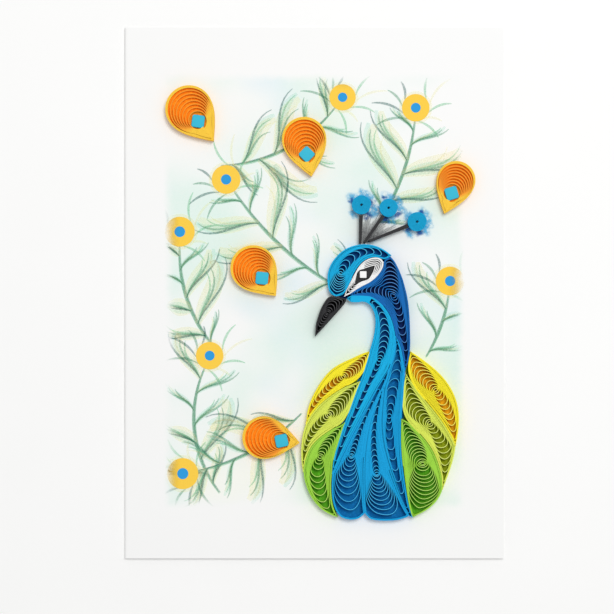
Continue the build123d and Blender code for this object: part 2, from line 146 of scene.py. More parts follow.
# %% The shader wrapper
class Ink:
    """One output of a shader node. Its signs + - * add Math nodes."""

    def __init__(self, tree, socket=None):
        self.tree, self.socket = tree, socket

    def node(self, kind, settings=None, inputs=None, output=0):
        """Any other node: its type, its settings, then what goes into its sockets."""
        made = self.tree.nodes.new(kind)
        for name, value in (settings or {}).items():
            setattr(made, name, value)
        for name, value in (inputs or {}).items():
            if isinstance(value, Ink):
                self.tree.links.new(value.socket, made.inputs[name])
            else:
                made.inputs[name].default_value = value
        return Ink(self.tree, made.outputs[output])

    def maths(self, operation, *values):
        """A Math node on these values."""
        return self.node("ShaderNodeMath", {"operation": operation}, dict(enumerate(values)))

    __add__ = __radd__ = lambda self, other: self.maths("ADD", self, other)
    __mul__ = __rmul__ = lambda self, other: self.maths("MULTIPLY", self, other)
    __sub__ = lambda self, other: self.maths("SUBTRACT", self, other)
    __rsub__ = lambda self, other: self.maths("SUBTRACT", other, self)

    def between(self, low, high):
        """0 below low, 1 above high, and a smooth step from one to the other."""
        return self.node("ShaderNodeMapRange", {"interpolation_type": "SMOOTHSTEP"},
                         {"Value": self, "From Min": low, "From Max": high})

    def part(self, axis):
        """The x, y or z of this place, by its number."""
        return self.node("ShaderNodeSeparateXYZ", None, {0: self}, axis)

    def moved(self, x, y):
        """This place, shifted sideways, where a noise has another pattern."""
        return self.node("ShaderNodeVectorMath", {"operation": "ADD"}, {0: self, 1: (x, y, 0.0)})

    def speckle(self, scale, detail=2.0, roughness=0.5):
        """A noise over this place, 0 to 1, with its grains at a scale for each metre."""
        return self.node("ShaderNodeTexNoise", None,
                         {"Vector": self, "Scale": scale, "Detail": detail, "Roughness": roughness})

    def blend(self, first, second):
        """This share of the second colour over the first."""
        return self.node("ShaderNodeMix", {"data_type": "RGBA"}, {0: self, 6: first, 7: second}, 2)

    def bump(self, strength, height):
        """A surface that a height roughens, by a strength."""
        return self.node("ShaderNodeBump", None,
                         {"Strength": strength, "Distance": 0.00003, "Height": height})

    def into(self, shader, name):
        """Links this output to an input of a shader."""
        self.tree.links.new(self.socket, shader.inputs[name])


def blank(name, roughness):
    """A new material, its shader, and the place on the piece as an Ink."""
    material = bpy.data.materials.new(name)
    material.use_nodes = True
    shader = material.node_tree.nodes["Principled BSDF"]
    shader.inputs["Roughness"].default_value = roughness
    shader.inputs["Specular IOR Level"].default_value = 0.25
    place = Ink(material.node_tree).node("ShaderNodeTexCoord", output="Object")
    return material, shader, place


def seen(red, green, blue):
    """A colour as it is read off a picture, from 0 to 255, turned into light."""
    return tuple([(value / 255) ** 2.2 for value in (red, green, blue)] + [1.0])


print("shader wrapper ready")

# %% [markdown]
# ## Quilling paper
#
# Quilling strips are cut from paper that is dyed right through. Two things keep them from
# looking like plastic: short fibres that roughen the surface, and dye that took a little
# unevenly. The faces that point up get a painted highlight: a slightly lighter colour than
# the sides, as if they caught more light. Where a turn stands apart from its neighbours, its
# top carries still more painted light: a lighter colour on most papers, and orange on the golden
# one, like light bounced between its walls. Every strip carries how far apart its turns stand
# as an attribute named apart, from 0 to 1.

# %% Quilling paper
def quilling_paper(name, colour, top_highlight_colour, open_turn_light_colour, highlight_share):
    """Dyed paper: its colour, the painted highlight on its top, and the painted light on a turn that stands
    apart.
    """
    material, shader, place = blank(name, 0.72)
    dye = place.speckle(170.0)
    fibre = place.speckle(5200.0, 4.0, 0.7)
    uneven = place.speckle(900.0, 3.0, 0.6)
    upward = place.node("ShaderNodeNewGeometry", output="Normal").part(2)
    apart = place.node("ShaderNodeAttribute", {"attribute_name": "apart"}, output="Fac")
    # Painted highlight: faces that point up get the lighter colour, and more of it where a turn stands
    # apart.
    painted_top_light = upward.between(0.6, 0.95) * (highlight_share + apart * (1 - highlight_share))
    depth = dye * 0.22 + uneven * 0.16 + fibre * 0.12
    dark = tuple([value * 0.88 for value in colour[:3]] + [1.0])
    body = depth.between(0.12, 0.36).blend(dark, colour)
    painted_top_light.blend(body, apart.blend(top_highlight_colour, open_turn_light_colour)).into(shader, "Base Color")
    place.bump(0.25, fibre).into(shader, "Normal")
    return material


# By slot: the paper's name, its dye, the painted highlight on its top, and the painted light on a turn that
# stands apart
paper_colours = {
    "crown_blue": ("light_blue_paper", (0, 170, 228), (2, 178, 231), (84, 194, 236)),
    "breast_blue": ("azure_paper", (0, 157, 221), (0, 166, 228), (76, 186, 234)),
    "nape_blue": ("dark_blue_paper", (0, 99, 176), (0, 107, 184), (84, 142, 208)),
    "yellow": ("yellow_paper", (255, 231, 22), (255, 243, 52), (255, 242, 112)),
    "lime": ("lime_paper", (214, 230, 68), (224, 238, 100), (230, 240, 134)),
    "green": ("green_paper", (146, 210, 53), (164, 220, 76), (190, 230, 114)),
    "golden": ("golden_paper", (252, 186, 70), (254, 206, 64), (250, 150, 44)),
    "sky_blue": ("sky_blue_paper", (50, 182, 212), (66, 190, 218), (66, 190, 218)),
    "dark_grey": ("dark_grey_paper", (38, 38, 40), (58, 58, 60), (88, 88, 90)),
    "white": ("white_paper", (248, 248, 247), (252, 252, 252), (252, 252, 252)),
    "disc": ("disc_blue_paper", (0, 156, 208), (0, 172, 222), (0, 172, 222)),
}
papers = {}
for slot, (name, *colours) in paper_colours.items():
    # The golden paper's tops get a stronger painted highlight.
    highlight_share = 0.85 if slot == "golden" else 0.6
    papers[slot] = quilling_paper(name, *[seen(*colour) for colour in colours], highlight_share)
print("papers:", len(papers))

# %% [markdown]
# ## Lines
#
# Every coil follows a few smooth lines. A line is a list of points, and a point is one complex
# number, such as 9.9-1.3j for 9.9 mm to the right and 1.3 mm down, because complex numbers can be
# added, turned and scaled in one step. Two coils that stand side by side share the line between
# them.

# %% Smooth lines
steps_per_point = 4
search_steps = 160


def curve(*drawn):
    """The smooth line through the drawn points."""
    points = [2 * drawn[0] - drawn[1], *drawn, 2 * drawn[-1] - drawn[-2]]
    line = []
    for before, start, end, after in zip(points, points[1:], points[2:], points[3:]):
        for step in range(steps_per_point):
            t = step / steps_per_point
            bend = (2 * before - 5 * start + 4 * end - after) * t * t
            twist = (3 * start - before - 3 * end + after) * t ** 3
            line.append((2 * start + (end - before) * t + bend + twist) / 2)
    return line + [drawn[-1]]


def circle(count):
    """Evenly spaced points round a circle of radius 1."""
    return [rect(1, 2 * pi * n / count) for n in range(count)]


def heading(degrees):
    """A step of length 1 in a direction, in degrees from the right and counterclockwise."""
    return rect(1, radians(degrees))


def stretch(line, first, last):
    """The part of a line from one drawn point to another, by their numbers."""
    return line[steps_per_point * first:steps_per_point * last + 1]


def join(*lines):
    """One line out of several that follow each other."""
    whole = list(lines[0])
    for line in lines[1:]:
        whole += line[1:] if abs(line[0] - whole[-1]) < 0.01 else line
    return whole


class Side:
    """A line that knows how long it is, so that a share of the way finds its point."""

    def __init__(self, line):
        self.line = line
        self.reached = [0.0]
        for a, b in zip(line, line[1:]):
            self.reached.append(self.reached[-1] + abs(b - a))
        self.length = self.reached[-1]

    def at(self, share):
        """The point that a share of the way along the line reaches."""
        distance = min(max(share, 0.0), 1.0) * self.length
        n = min(bisect(self.reached, distance), len(self.line) - 1)
        near, far = self.reached[n - 1], self.reached[n]
        return self.line[n - 1] + (self.line[n] - self.line[n - 1]) * (distance - near) / (far - near)

    def nearest(self, point):
        """The share of the way at which the line comes nearest to a point."""
        shares = [step / search_steps for step in range(search_steps + 1)]
        return min(shares, key=lambda share: abs(self.at(share) - point))


print("a test line is", round(Side(curve(0, 5+1j, 10)).length, 2), "mm long")

# %% [markdown]
# ## A strip that stands on edge
#
# A quilled strip is a ribbon of paper on its narrow side. The mesh starts as one row of points
# along its outer face. An extrusion sideways gives the paper its thickness, and an extrusion
# upwards gives the strip its width. The top edge of hand-wound paper is never quite level, so
# it goes down a few hundredths of a millimetre here and there.

# %% Raise a strip
sag_grain = 0.35
sharp_angle = 40


def faces_of(path, thicknesses):
    """The two faces of a strip that runs along a path."""
    outer, inner = [], []
    for n, (point, thickness) in enumerate(zip(path, thicknesses)):
        ahead = path[min(n + 1, len(path) - 1)] - path[max(n - 1, 0)]
        aside = ahead / max(abs(ahead), 1e-9) * 1j * thickness / 2
        outer.append(point + aside)
        inner.append(point - aside)
    return outer, inner


def length_of(path):
    """How long a strip is, in whole millimetres."""
    return round(sum(abs(b - a) for a, b in zip(path, path[1:])))


def spot(point, height):
    """The place of a point at a height, both in millimetres, in Blender's metres."""
    return point.real * mm, point.imag * mm, height * mm


def only(kind, geometry):
    """The vertices, edges or faces among what an operator made."""
    return [element for element in geometry if isinstance(element, kind)]


def raise_faces(bm, faces, level):
    """Extrudes flat faces up to what the function level gives for each vertex."""
    raised = bmesh.ops.extrude_face_region(bm, geom=faces)["geom"]
    for vertex in only(bmesh.types.BMVert, raised):
        vertex.co.z = level(vertex) * mm
    return raised


def raise_strip(bm, path, thicknesses, apart, low, high, unevenness=0.0):
    """Adds one strip to a bmesh, from a low to a high level in millimetres. The amounts apart,
    from 0 to 1 for each point, may be left empty where all of them are 0."""
    layer = bm.verts.layers.float.get("apart") or bm.verts.layers.float.new("apart")
    outer, inner = faces_of(path, thicknesses)
    row = [bm.verts.new(spot(point, low)) for point in outer]
    for vertex, amount in zip(row, apart):
        vertex[layer] = amount
    edges = [bm.edges.new(pair) for pair in zip(row, row[1:])]
    numbers = {vertex: n for n, vertex in enumerate(row)}
    widened = bmesh.ops.extrude_edge_only(bm, edges=edges)["geom"]
    for vertex in only(bmesh.types.BMVert, widened):
        across = [edge.other_vert(vertex) for edge in vertex.link_edges]
        vertex.co = spot(inner[next(numbers[other] for other in across if other in numbers)], low)
    raise_faces(bm, only(bmesh.types.BMFace, widened),
                lambda vertex: high - unevenness * (0.5 + 0.5 * noise.noise(vertex.co / mm * sag_grain)))


def raise_form(bm, ring, low, high):
    """Adds a solid form with the outline of a ring, and returns the edges round its top."""
    corners = [bm.verts.new(spot(point, low)) for point in ring]
    edges = [bm.edges.new(pair) for pair in zip(corners, corners[1:] + corners[:1])]
    flat = bmesh.ops.contextual_create(bm, geom=edges)["faces"]
    return only(bmesh.types.BMEdge, raise_faces(bm, flat, lambda vertex: high))


def make_piece(name, bm, material, slot, *nodes):
    """Turns a bmesh into a finished piece that rides on the card and may replace CAD nodes."""
    bmesh.ops.recalc_face_normals(bm, faces=bm.faces)
    mesh = bpy.data.meshes.new(name)
    bm.to_mesh(mesh)
    bm.free()
    for face in mesh.polygons:
        face.use_smooth = True
    mesh.set_sharp_from_angle(angle=radians(sharp_angle))
    mesh.materials.append(material)
    piece = bpy.data.objects.new(name, mesh)
    bpy.context.collection.objects.link(piece)
    if nodes:
        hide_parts(*nodes)
    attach(piece, "root")
    return piece


# %% [markdown]
# ## How a pinched coil lies
#
# A loose coil that is pinched at its ends keeps its turns tight along the sides, and its turns
# bow from side to side in arches towards each tip. So a turn is drawn in two kinds of stretches:
# arches in the coil's lobes, and runs beside its walls. The turn's number may be a fraction, and
# letting it grow slowly along the way turns closed rings into one long spiral, which is what
# the strip really is. Turns below 0 are the tight ones round the whole coil.
#
# A tip may be blunt, like the foot of a breast coil. There the tight turns follow the wall all
# the way round, and the arches inside them are deeper.

# %% Measures of a coil, in millimetres
strip_paper = 0.2
widest_paper = 0.28
thinnest = 0.06
air = 0.015
border = 0.66
border_turns = 3
outermost = 0.085
eye_radius = 0.6
smallest_width = 0.7
print("strip paper", strip_paper, "mm,", border_turns, "tight turns round each coil")

# %% A lobe of a coil
spine_steps = 60
run_ease = 1.35
arch_share = 0.42
blunt_share, blunt_blend, blunt_end = 0.3, 0.3, 0.98
blunt_depth = 1.4
tongue_steps, tongue_gaps = 24, (0.18, 0.25)


def stepped(turn):
    """A tight turn follows the one before it and only steps inwards over its last fifth."""
    whole = floor(turn)
    return whole + max(turn - whole - 0.8, 0.0) / 0.2


class Lobe:
    """One end of a pinched coil, from its tip to the coil's eye."""

    def __init__(self, arriving, leaving, eye, turns, opens, blunt, pitch=None, loosening=4,
                 crowding=1.35):
        self.sides = {-1: Side(arriving[::-1]), 1: Side(leaving)}
        self.shares = {hand: side.nearest(eye) for hand, side in self.sides.items()}
        self.turns, self.loosening, self.crowding, self.blunt = turns, loosening, crowding, blunt
        self.lean = eye - (self.wall(-1, 1) + self.wall(1, 1)) / 2
        self.spine = Side([self.axis(step / spine_steps) for step in range(spine_steps + 1)])
        rooms = {hand: abs(self.wall(hand, 1) - eye) - border - eye_radius for hand in (-1, 1)}
        self.pitch = {hand: pitch or rooms[hand] / turns for hand in (-1, 1)}
        self.spread = {hand: rooms[hand] - self.pitch[hand] * turns for hand in (-1, 1)}
        wide = [n for n, point in enumerate(self.spine.line)
                if abs(self.wall(1, n / spine_steps) - point) > border + smallest_width / 2]
        self.tight_end = max(border, self.spine.reached[wide[0]])
        self.opens = opens or self.tight_end
        self.tight_end = min(self.tight_end, self.opens)
        spacing = (self.spine.length - eye_radius - self.opens) / turns
        self.arch_paper = min(strip_paper, arch_share * spacing)

    def wall(self, hand, q):
        """The wall's point at a share q of the way from the tip to the eye."""
        return self.sides[hand].at(q * self.shares[hand])

    def axis(self, q):
        """The middle between the walls, which bends over to the eye."""
        return (self.wall(-1, q) + self.wall(1, q)) / 2 + self.lean * q * q

    def share(self, distance):
        """The share q of the way to the eye at a distance along the axis."""
        reached = self.spine.reached
        if distance >= reached[-1]:
            return 1.0
        n = max(bisect(reached, distance), 1)
        return (n - 1 + (distance - reached[n - 1]) / (reached[n] - reached[n - 1])) / spine_steps

    def apex(self, turn):
        """How far from the tip the middle of a turn's arch stands."""
        if turn < 0:
            return self.tight_end + (self.tight_end - outermost) * stepped(turn) / border_turns
        open_length = self.spine.length - eye_radius - self.opens
        return self.opens + open_length * (1 - (1 - min(turn / self.turns, 1)) ** self.crowding)

    def band(self, hand, turn, q):
        """How much paper lies between the wall and a turn."""
        if turn < 0:
            return border + (border - outermost) * stepped(turn) / border_turns
        loose = self.spread[hand] * (turn / self.turns) ** self.loosening
        return border + self.pitch[hand] * turn + loose * q * q

    def half_width(self, hand, turn, q):
        """How far a turn stands from the axis."""
        return max(abs(self.wall(hand, q) - self.axis(q)) - self.band(hand, turn, q), thinnest)

    def foot(self, hand, turn):
        """How far the foot of a turn's arch lies behind its middle."""
        top = self.apex(turn)
        depth = blunt_depth if self.blunt else 1.0
        q = self.share(top + self.half_width(hand, turn, self.share(top)))
        return min(depth * self.half_width(hand, turn, q), self.spine.length - top)

    def beside(self, hand, turn, q, out=1.0):
        """A point of a turn, a share out of the way from the axis to its place by the wall."""
        spoke = self.wall(hand, q) - self.axis(q)
        return self.axis(q) + spoke / abs(spoke) * self.half_width(hand, turn, q) * out

    def round_the_end(self, hand, turn, q):
        """A point of a tight turn that keeps an even distance from the wall of a blunt end."""
        near = self.wall(hand, q)
        along = self.wall(hand, q + 0.01) - self.wall(hand, q - 0.01)
        along /= abs(along)
        inward = self.axis(1) - near
        inward -= along * (inward * along.conjugate()).real
        return near + inward / abs(inward) * self.band(hand, turn, 0)

    def arch(self, hand, turn, angle):
        """A point of a turn's arch, from its middle at 0 to its foot at 90 degrees."""
        if turn < 0 and self.blunt:
            return self.round_the_end(hand, turn, blunt_share * angle / 90)
        q = self.share(self.apex(turn) + self.foot(hand, turn) * (1 - cos(radians(angle))))
        return self.beside(hand, turn, q, sin(radians(angle)))

    def run(self, hand, turn, share):
        """A point of a turn beside the wall, from its arch's foot at 0 to the eye at 1."""
        if turn < 0 and self.blunt:
            q = blunt_share + (1 - blunt_share) * share ** run_ease
            straight = min((q - blunt_share) / blunt_blend, 1)
            rounded = self.round_the_end(hand, turn, min(q, blunt_end))
            return rounded + (self.beside(hand, turn, q) - rounded) * straight
        q = self.share(self.apex(turn) + self.foot(hand, turn))
        return self.beside(hand, turn, q + (1 - q) * share ** run_ease)

    def tongue(self):
        """The folded paper that fills a lobe from its tight end to where its arches open."""
        first, last = self.apex(-0.9) + tongue_gaps[0], self.opens - tongue_gaps[1]
        shares = [self.share(first + (last - first) * step / tongue_steps)
                  for step in range(tongue_steps + 1)]
        path = [self.axis(q) for q in shares]
        return path, [2 * self.half_width(1, -0.35, q) - air for q in shares], ()

    def thickness(self, hand, turn, bow):
        """The paper's thickness. Beside the walls the turns nearly touch, and bow is 0 there."""
        if turn < 0:
            pitch = (border - outermost) / border_turns
        else:
            growth = self.loosening * (turn / self.turns) ** (self.loosening - 1) / self.turns
            pitch = self.pitch[hand] + self.spread[hand] * growth
        tight = min(pitch - air, widest_paper)
        return tight + (self.arch_paper - tight) * bow


print("a lobe has", spine_steps, "steps along its axis")

# %% Stations of a turn
arch_angles = [90 * (step / 9) for step in range(10)]
run_steps = 26
most_slack = 0.07


def one_turn(lobes):
    """The stations of a turn: lobe, hand, kind, and angle or share."""
    stations = []
    for lobe in lobes:
        stations += [(lobe, -1, "run", 1 - step / run_steps) for step in range(run_steps)]
        stations += [(lobe, -1, "arch", angle) for angle in arch_angles[::-1]]
        stations += [(lobe, 1, "arch", angle) for angle in arch_angles[1:]]
        stations += [(lobe, 1, "run", (step + 1) / run_steps) for step in range(run_steps - 1)]
    return stations


def lobes_of(eye, turns, sides, opens=(None,) * 3, blunt=None, **more):
    """A coil's lobes, one for each tip."""
    return [Lobe(sides[n - 1], side, eye, turns, opens[n], n == blunt, **more)
            for n, side in enumerate(sides)]


print("an arch has", 2 * len(arch_angles) - 1, "stations, a run", run_steps)

# %% Wind a strip into a coil
slack_by_turn, slack_by_station = 1.7, 0.03
turns_settled = 4


def wind(lobes, turns, settling=3):
    """The path of a coil's strip from its outer end to its eye, its thickness, and how far apart
    its turns stand. Turns are never pressed quite evenly, so a little slack comes and goes."""
    stations = one_turn(lobes)
    path, thicknesses, apart = [], [], []
    for whole in range(-border_turns, turns):
        for n, (lobe, hand, kind, where) in enumerate(stations):
            turn = whole + n / len(stations)
            path.append(lobe.arch(hand, turn, where) if kind == "arch" else lobe.run(hand, turn, where))
            bows = kind == "arch" and where < 90 and not (lobe.blunt and turn < 0)
            bow = cos(radians(where)) ** 0.5 if bows else 0.0
            spot_of_slack = Vector((whole * slack_by_turn, n * slack_by_station, turns))
            slack = max(noise.noise(spot_of_slack), 0.0) * most_slack
            thicknesses.append(lobe.thickness(hand, turn, bow) - slack)
            apart.append(bow if turn > 0 else 0.0)
    first = len(stations) * (border_turns + 1)
    path = settle(path, [first] * settling)
    near_eye = len(path) - turns_settled * len(stations)
    return settle(path, [near_eye + 2 * n for n in range(len(stations))]), thicknesses, apart


def settle(path, starts):
    """Paper doesn't kink. In one pass for each start, the points from there on go halfway to the
    middle of their neighbours."""
    for start in starts:
        middles = [(a + b) / 2 for a, b in zip(path[start - 1:], path[start + 1:])]
        path = path[:start] + [(p + m) / 2 for p, m in zip(path[start:], middles)] + path[-1:]
    return path


print("turns are never pressed quite evenly: up to", most_slack, "mm of slack")

# %% [markdown]
# ## The bird's lines
#
# These are the seams of the peacock, from the head down: the outline of the eye, the crown and
# the nape round it, the neck that runs down in front, and the breast and wing coils that fan out.

# %% Lines of the head and neck
eye_top = curve(
    9.9-1.3j, 10.5+0.6j, 11.4+2.4j, 12.4+4.5j, 13.4+6.6j, 14.7+8.7j, 16.3+10.4j, 18.3+11.5j, 20.4+11.9j,
    22.2+11.5j, 23.2+10.3j)
eye_low = curve(
    9.9-1.3j, 11.8-0.4j, 13.6+0.8j, 16.0+2.2j, 18.4+3.4j, 20.4+4.9j, 22.0+6.8j, 23.0+8.7j, 23.2+10.3j)
crown_outer = curve(
    7.4-1.15j, 5.6-0.4j, 4.7+1.8j, 4.45+5.0j, 4.95+8.1j, 6.6+11.1j, 9.1+13.7j, 12.2+15.4j, 16.0+16.15j,
    19.9+15.8j, 23.1+14.4j, 25.7+12.5j)
crown_tip_low = curve(25.7+12.5j, 24.6+11.65j, 23.45+11.15j, 22.2+11.5j, 20.4+11.9j)
crown_foot = curve(10.5+0.6j, 9.2-0.7j, 7.4-1.15j)
nape_peak = curve(23.2+10.3j, 23.5+10.9j, 24.3+11.45j, 25.3+12.1j)
nape_outer = curve(
    25.3+12.1j, 26.7+10.5j, 28.1+7.9j, 29.3+5.0j, 30.3+1.6j, 31.1-2.0j, 31.6-6.0j, 31.85-10.0j,
    31.95-14.0j, 31.95-18.0j, 31.45-22.0j, 30.3-25.9j)
neck_back = curve(
    12.6-0.9j, 14.4-0.9j, 16.6-1.0j, 19.0-1.3j, 21.2-2.7j, 23.2-4.6j, 24.8-6.9j, 25.9-9.4j, 26.6-12.0j,
    27.0-14.3j)
nape_tail = curve(27.0-14.3j, 28.2-16.4j, 29.0-18.8j, 29.5-21.4j, 29.9-23.8j, 30.3-25.9j)
neck_front = curve(
    10.9-1.9j, 12.3-3.0j, 14.4-3.1j, 16.6-2.9j, 18.5-3.9j, 19.8-5.9j, 20.4-8.5j, 20.4-11.5j, 19.9-14.5j,
    19.2-17.2j, 18.4-19.8j, 17.5-23.0j, 16.5-26.2j, 15.3-29.5j, 14.0-32.8j, 12.8-36.2j, 11.5-39.8j,
    10.2-43.2j, 9.0-46.8j, 8.0-50.0j, 7.0-53.2j, 6.3-56.6j, 6.0-60.4j)

# %% Lines of the breast
neck_and_tip = curve(27.0-14.3j, 26.9-17.0j, 26.5-19.8j, 25.8-22.6j, 24.9-25.2j)
neck_and_left = curve(
    24.9-25.2j, 23.3-27.8j, 21.4-30.6j, 19.6-33.7j, 17.8-37.0j, 15.9-40.5j, 14.0-44.0j, 12.2-47.4j,
    10.5-50.8j, 8.9-54.2j, 7.4-57.4j, 6.0-60.4j)
left_and_right = curve(24.9-25.2j, 24.4-27.4j, 23.7-29.6j, 22.9-31.6j)
left_and_middle = curve(
    22.9-31.6j, 21.6-34.2j, 20.4-36.9j, 19.3-39.8j, 18.3-43.0j, 17.5-46.5j, 16.9-50.3j, 16.5-54.3j,
    16.3-58.5j, 16.3-63.0j, 16.4-67.5j, 16.6-70.9j, 16.9-73.5j)
left_outer = curve(6.0-60.4j, 5.85-63.5j, 5.9-67.0j, 6.4-70.2j, 7.5-73.0j, 9.3-74.9j, 12.1-75.6j)
left_foot = curve(12.1-75.6j, 14.6-75.2j, 16.9-73.5j)
middle_and_right = curve(
    22.9-31.6j, 22.6-35.0j, 22.2-39.0j, 22.0-43.0j, 22.2-47.0j, 22.8-51.0j, 23.8-55.0j, 25.0-59.0j,
    26.4-63.0j, 27.9-67.0j, 29.6-70.8j, 31.6-74.3j)
middle_foot = curve(16.9-73.5j, 18.6-75.2j, 21.2-75.8j, 24.2-75.9j, 27.2-75.7j, 29.8-75.1j, 31.6-74.3j)
right_outer = curve(
    30.3-25.9j, 30.0-30.0j, 29.7-34.0j, 29.4-38.0j, 29.1-42.0j, 29.0-46.0j, 29.0-50.0j, 29.2-54.0j,
    29.6-58.0j, 30.1-62.0j, 30.7-66.0j, 31.4-70.0j, 32.2-73.2j, 32.8-74.8j)

# %% Lines of the wings
left_yellow_outer = curve(
    18.2-19.6j, 15.6-20.5j, 12.6-21.9j, 9.3-23.4j, 6.2-25.3j, 3.6-27.9j, 1.4-31.1j, -0.6-34.8j,
    -2.1-38.9j, -2.8-43.9j)
left_yellow_and_lime = curve(
    16.5-26.2j, 15.0-28.2j, 12.9-29.9j, 10.2-31.4j, 7.0-33.3j, 3.8-35.6j, 1.0-38.2j, -1.2-41.0j,
    -2.8-43.9j)
left_lime_outer = curve(-2.8-43.9j, -3.7-47.0j, -4.2-50.5j, -4.3-54.0j, -4.1-57.2j, -3.6-59.8j)
left_lime_and_green = curve(
    11.5-39.8j, 9.5-43.0j, 6.6-45.1j, 3.9-46.8j, 1.3-48.8j, -0.9-51.2j, -2.3-54.0j, -3.2-57.0j,
    -3.6-59.8j)
left_green_outer = curve(
    -3.6-59.8j, -3.2-62.4j, -2.2-65.5j, -0.8-68.3j, 1.1-70.8j, 3.2-72.6j, 5.6-73.9j, 7.8-74.7j)
left_green_and_foot = curve(6.0-60.4j, 5.75-63.5j, 5.8-67.0j, 6.2-70.4j, 7.0-73.0j, 7.8-74.7j)
right_yellow_outer = curve(
    32.2-19.6j, 34.4-21.0j, 37.0-22.9j, 39.8-25.1j, 42.5-27.7j, 44.9-30.8j, 46.8-34.4j, 47.9-38.2j,
    48.2-42.2j, 47.9-46.4j, 47.1-51.0j)
right_yellow_and_lime = curve(
    32.2-19.6j, 31.6-22.0j, 31.3-24.6j, 31.6-27.2j, 32.6-29.9j, 34.2-32.5j, 36.3-35.1j, 38.5-37.7j,
    40.7-40.4j, 42.7-43.1j, 44.5-45.9j, 46.0-48.6j, 47.1-51.0j)
right_lime_outer = curve(47.1-51.0j, 46.6-54.0j, 45.8-57.0j, 44.8-60.0j, 43.8-62.8j, 42.7-65.6j)
right_lime_and_green = curve(
    29.4-38.0j, 30.1-40.8j, 31.6-43.3j, 33.5-45.4j, 35.5-47.4j, 37.4-49.6j, 39.1-52.1j, 40.5-54.9j,
    41.6-58.1j, 42.4-61.6j, 42.7-65.6j)
right_green_outer = curve(42.7-65.6j, 41.4-68.4j, 39.3-70.8j, 36.9-72.6j, 34.6-73.8j, 33.0-74.6j)

# %% [markdown]
# ## The coils of the bird
#
# Each coil needs the place of its eye, how many loose turns it has, how far from each tip the
# first arch opens, and its sides from tip to tip. One table holds them, one loop winds them, and
# each strip takes the place of its plain CAD node. Some coils have more: pitch and loosening say
# how much paper a loose turn adds beside the wall and where that grows, crowding how much closer
# the arches stand near the eye, blunt which tip is blunt, and a last number how often the path
# is smoothed.

# %% The coils as a table
coils = {
    "beak_coil": ("dark_grey", dict(eye=4.6-6.6j, turns=7, sides=[
        curve(10.7-2.0j, 8.4-1.5j, 5.2-1.25j, 3.5-3.0j, 2.2-5.4j, 1.2-8.2j, 0.5-11.2j, 0.4-14.4j),
        curve(0.4-14.4j, 2.1-12.7j, 4.3-10.3j, 6.5-7.8j, 8.7-5.3j, 10.3-3.3j, 10.7-2.0j),
    ])),
    "crown_coil": ("crown_blue", dict(eye=8.9+6.7j, turns=9, opens=(1.4, None), sides=[
        crown_outer,
        join(crown_tip_low, stretch(eye_top, 1, 8)[::-1], crown_foot),
    ])),
    "nape_coil": ("nape_blue", dict(eye=26.6-1.2j, turns=10, pitch=0.2, loosening=1.8, sides=[
        join(curve(11.8-0.4j, 12.7+0.1j, 13.6+0.8j), stretch(eye_low, 2, 8), nape_peak),
        nape_outer,
        join(nape_tail[::-1], neck_back[::-1], curve(12.6-0.9j, 11.8-0.4j)),
    ]), 32),
    "neck_coil": ("crown_blue", dict(eye=21.7-22.4j, turns=12, opens=(8.2, None), sides=[
        neck_front,
        join(neck_and_left[::-1], neck_and_tip[::-1], neck_back[::-1],
             curve(12.6-0.9j, 11.6-1.3j, 10.9-1.9j)),
    ])),
    "left_breast_coil": ("breast_blue", dict(
        eye=12.3-54.4j, turns=12, crowding=1.8, opens=(None, 1.2), blunt=1, sides=[
            join(neck_and_left, left_outer),
            join(left_foot, left_and_middle[::-1], left_and_right[::-1]),
        ])),
    "middle_breast_coil": ("breast_blue", dict(
        eye=20.8-60.4j, turns=12, crowding=1.5, opens=(None, 0.9), blunt=1, sides=[
            join(left_and_middle, stretch(middle_foot, 0, 3)),
            join(stretch(middle_foot, 3, 6), middle_and_right[::-1]),
        ])),
    "right_breast_coil": ("breast_blue", dict(eye=24.9-41.3j, turns=9, sides=[
        join(neck_and_tip, left_and_right, middle_and_right, curve(31.6-74.3j, 32.8-74.8j)),
        join(right_outer[::-1], nape_tail[::-1]),
    ])),
    "left_yellow_coil": ("yellow", dict(eye=9.6-28.1j, turns=10, sides=[
        left_yellow_outer,
        join(left_yellow_and_lime[::-1], stretch(neck_front, 10, 12)[::-1]),
    ])),
    "left_lime_coil": ("lime", dict(eye=4.8-40.7j, turns=11, sides=[
        join(curve(15.3-29.5j, 13.4-30.2j, 10.2-31.4j), stretch(left_yellow_and_lime, 3, 8),
             left_lime_outer),
        join(left_lime_and_green[::-1], stretch(neck_front, 13, 16)[::-1]),
    ])),
    "left_green_coil": ("green", dict(eye=1.9-54.8j, turns=10, sides=[
        join(curve(10.2-43.2j, 8.8-44.2j, 6.6-45.1j), stretch(left_lime_and_green, 2, 8),
             left_green_outer),
        join(left_green_and_foot[::-1], stretch(neck_front, 17, 22)[::-1]),
    ])),
    "right_yellow_coil": ("yellow", dict(eye=40.5-32.4j, turns=10, sides=[
        right_yellow_outer,
        right_yellow_and_lime[::-1],
    ])),
    "right_lime_coil": ("lime", dict(eye=38.5-43.3j, turns=11, pitch=0.2, loosening=2, sides=[
        join(curve(30.7-27.2j, 31.4-28.3j, 32.6-29.9j), stretch(right_yellow_and_lime, 4, 12),
             right_lime_outer),
        join(right_lime_and_green[::-1], curve(29.4-38.0j, 29.7-34.0j, 30.0-30.0j, 30.7-27.2j)),
    ])),
    "right_green_coil": ("green", dict(
        eye=36.2-57.0j, turns=13, pitch=0.13, loosening=1.6, opens=(None, 2.4), sides=[
            join(curve(29.1-42.0j, 30.3-42.6j, 31.6-43.3j), stretch(right_lime_and_green, 2, 10),
                 right_green_outer),
            join([33.0-74.6j], stretch(right_outer, 4, 13)[::-1]),
        ])),
}
print("coils of the bird:", len(coils))
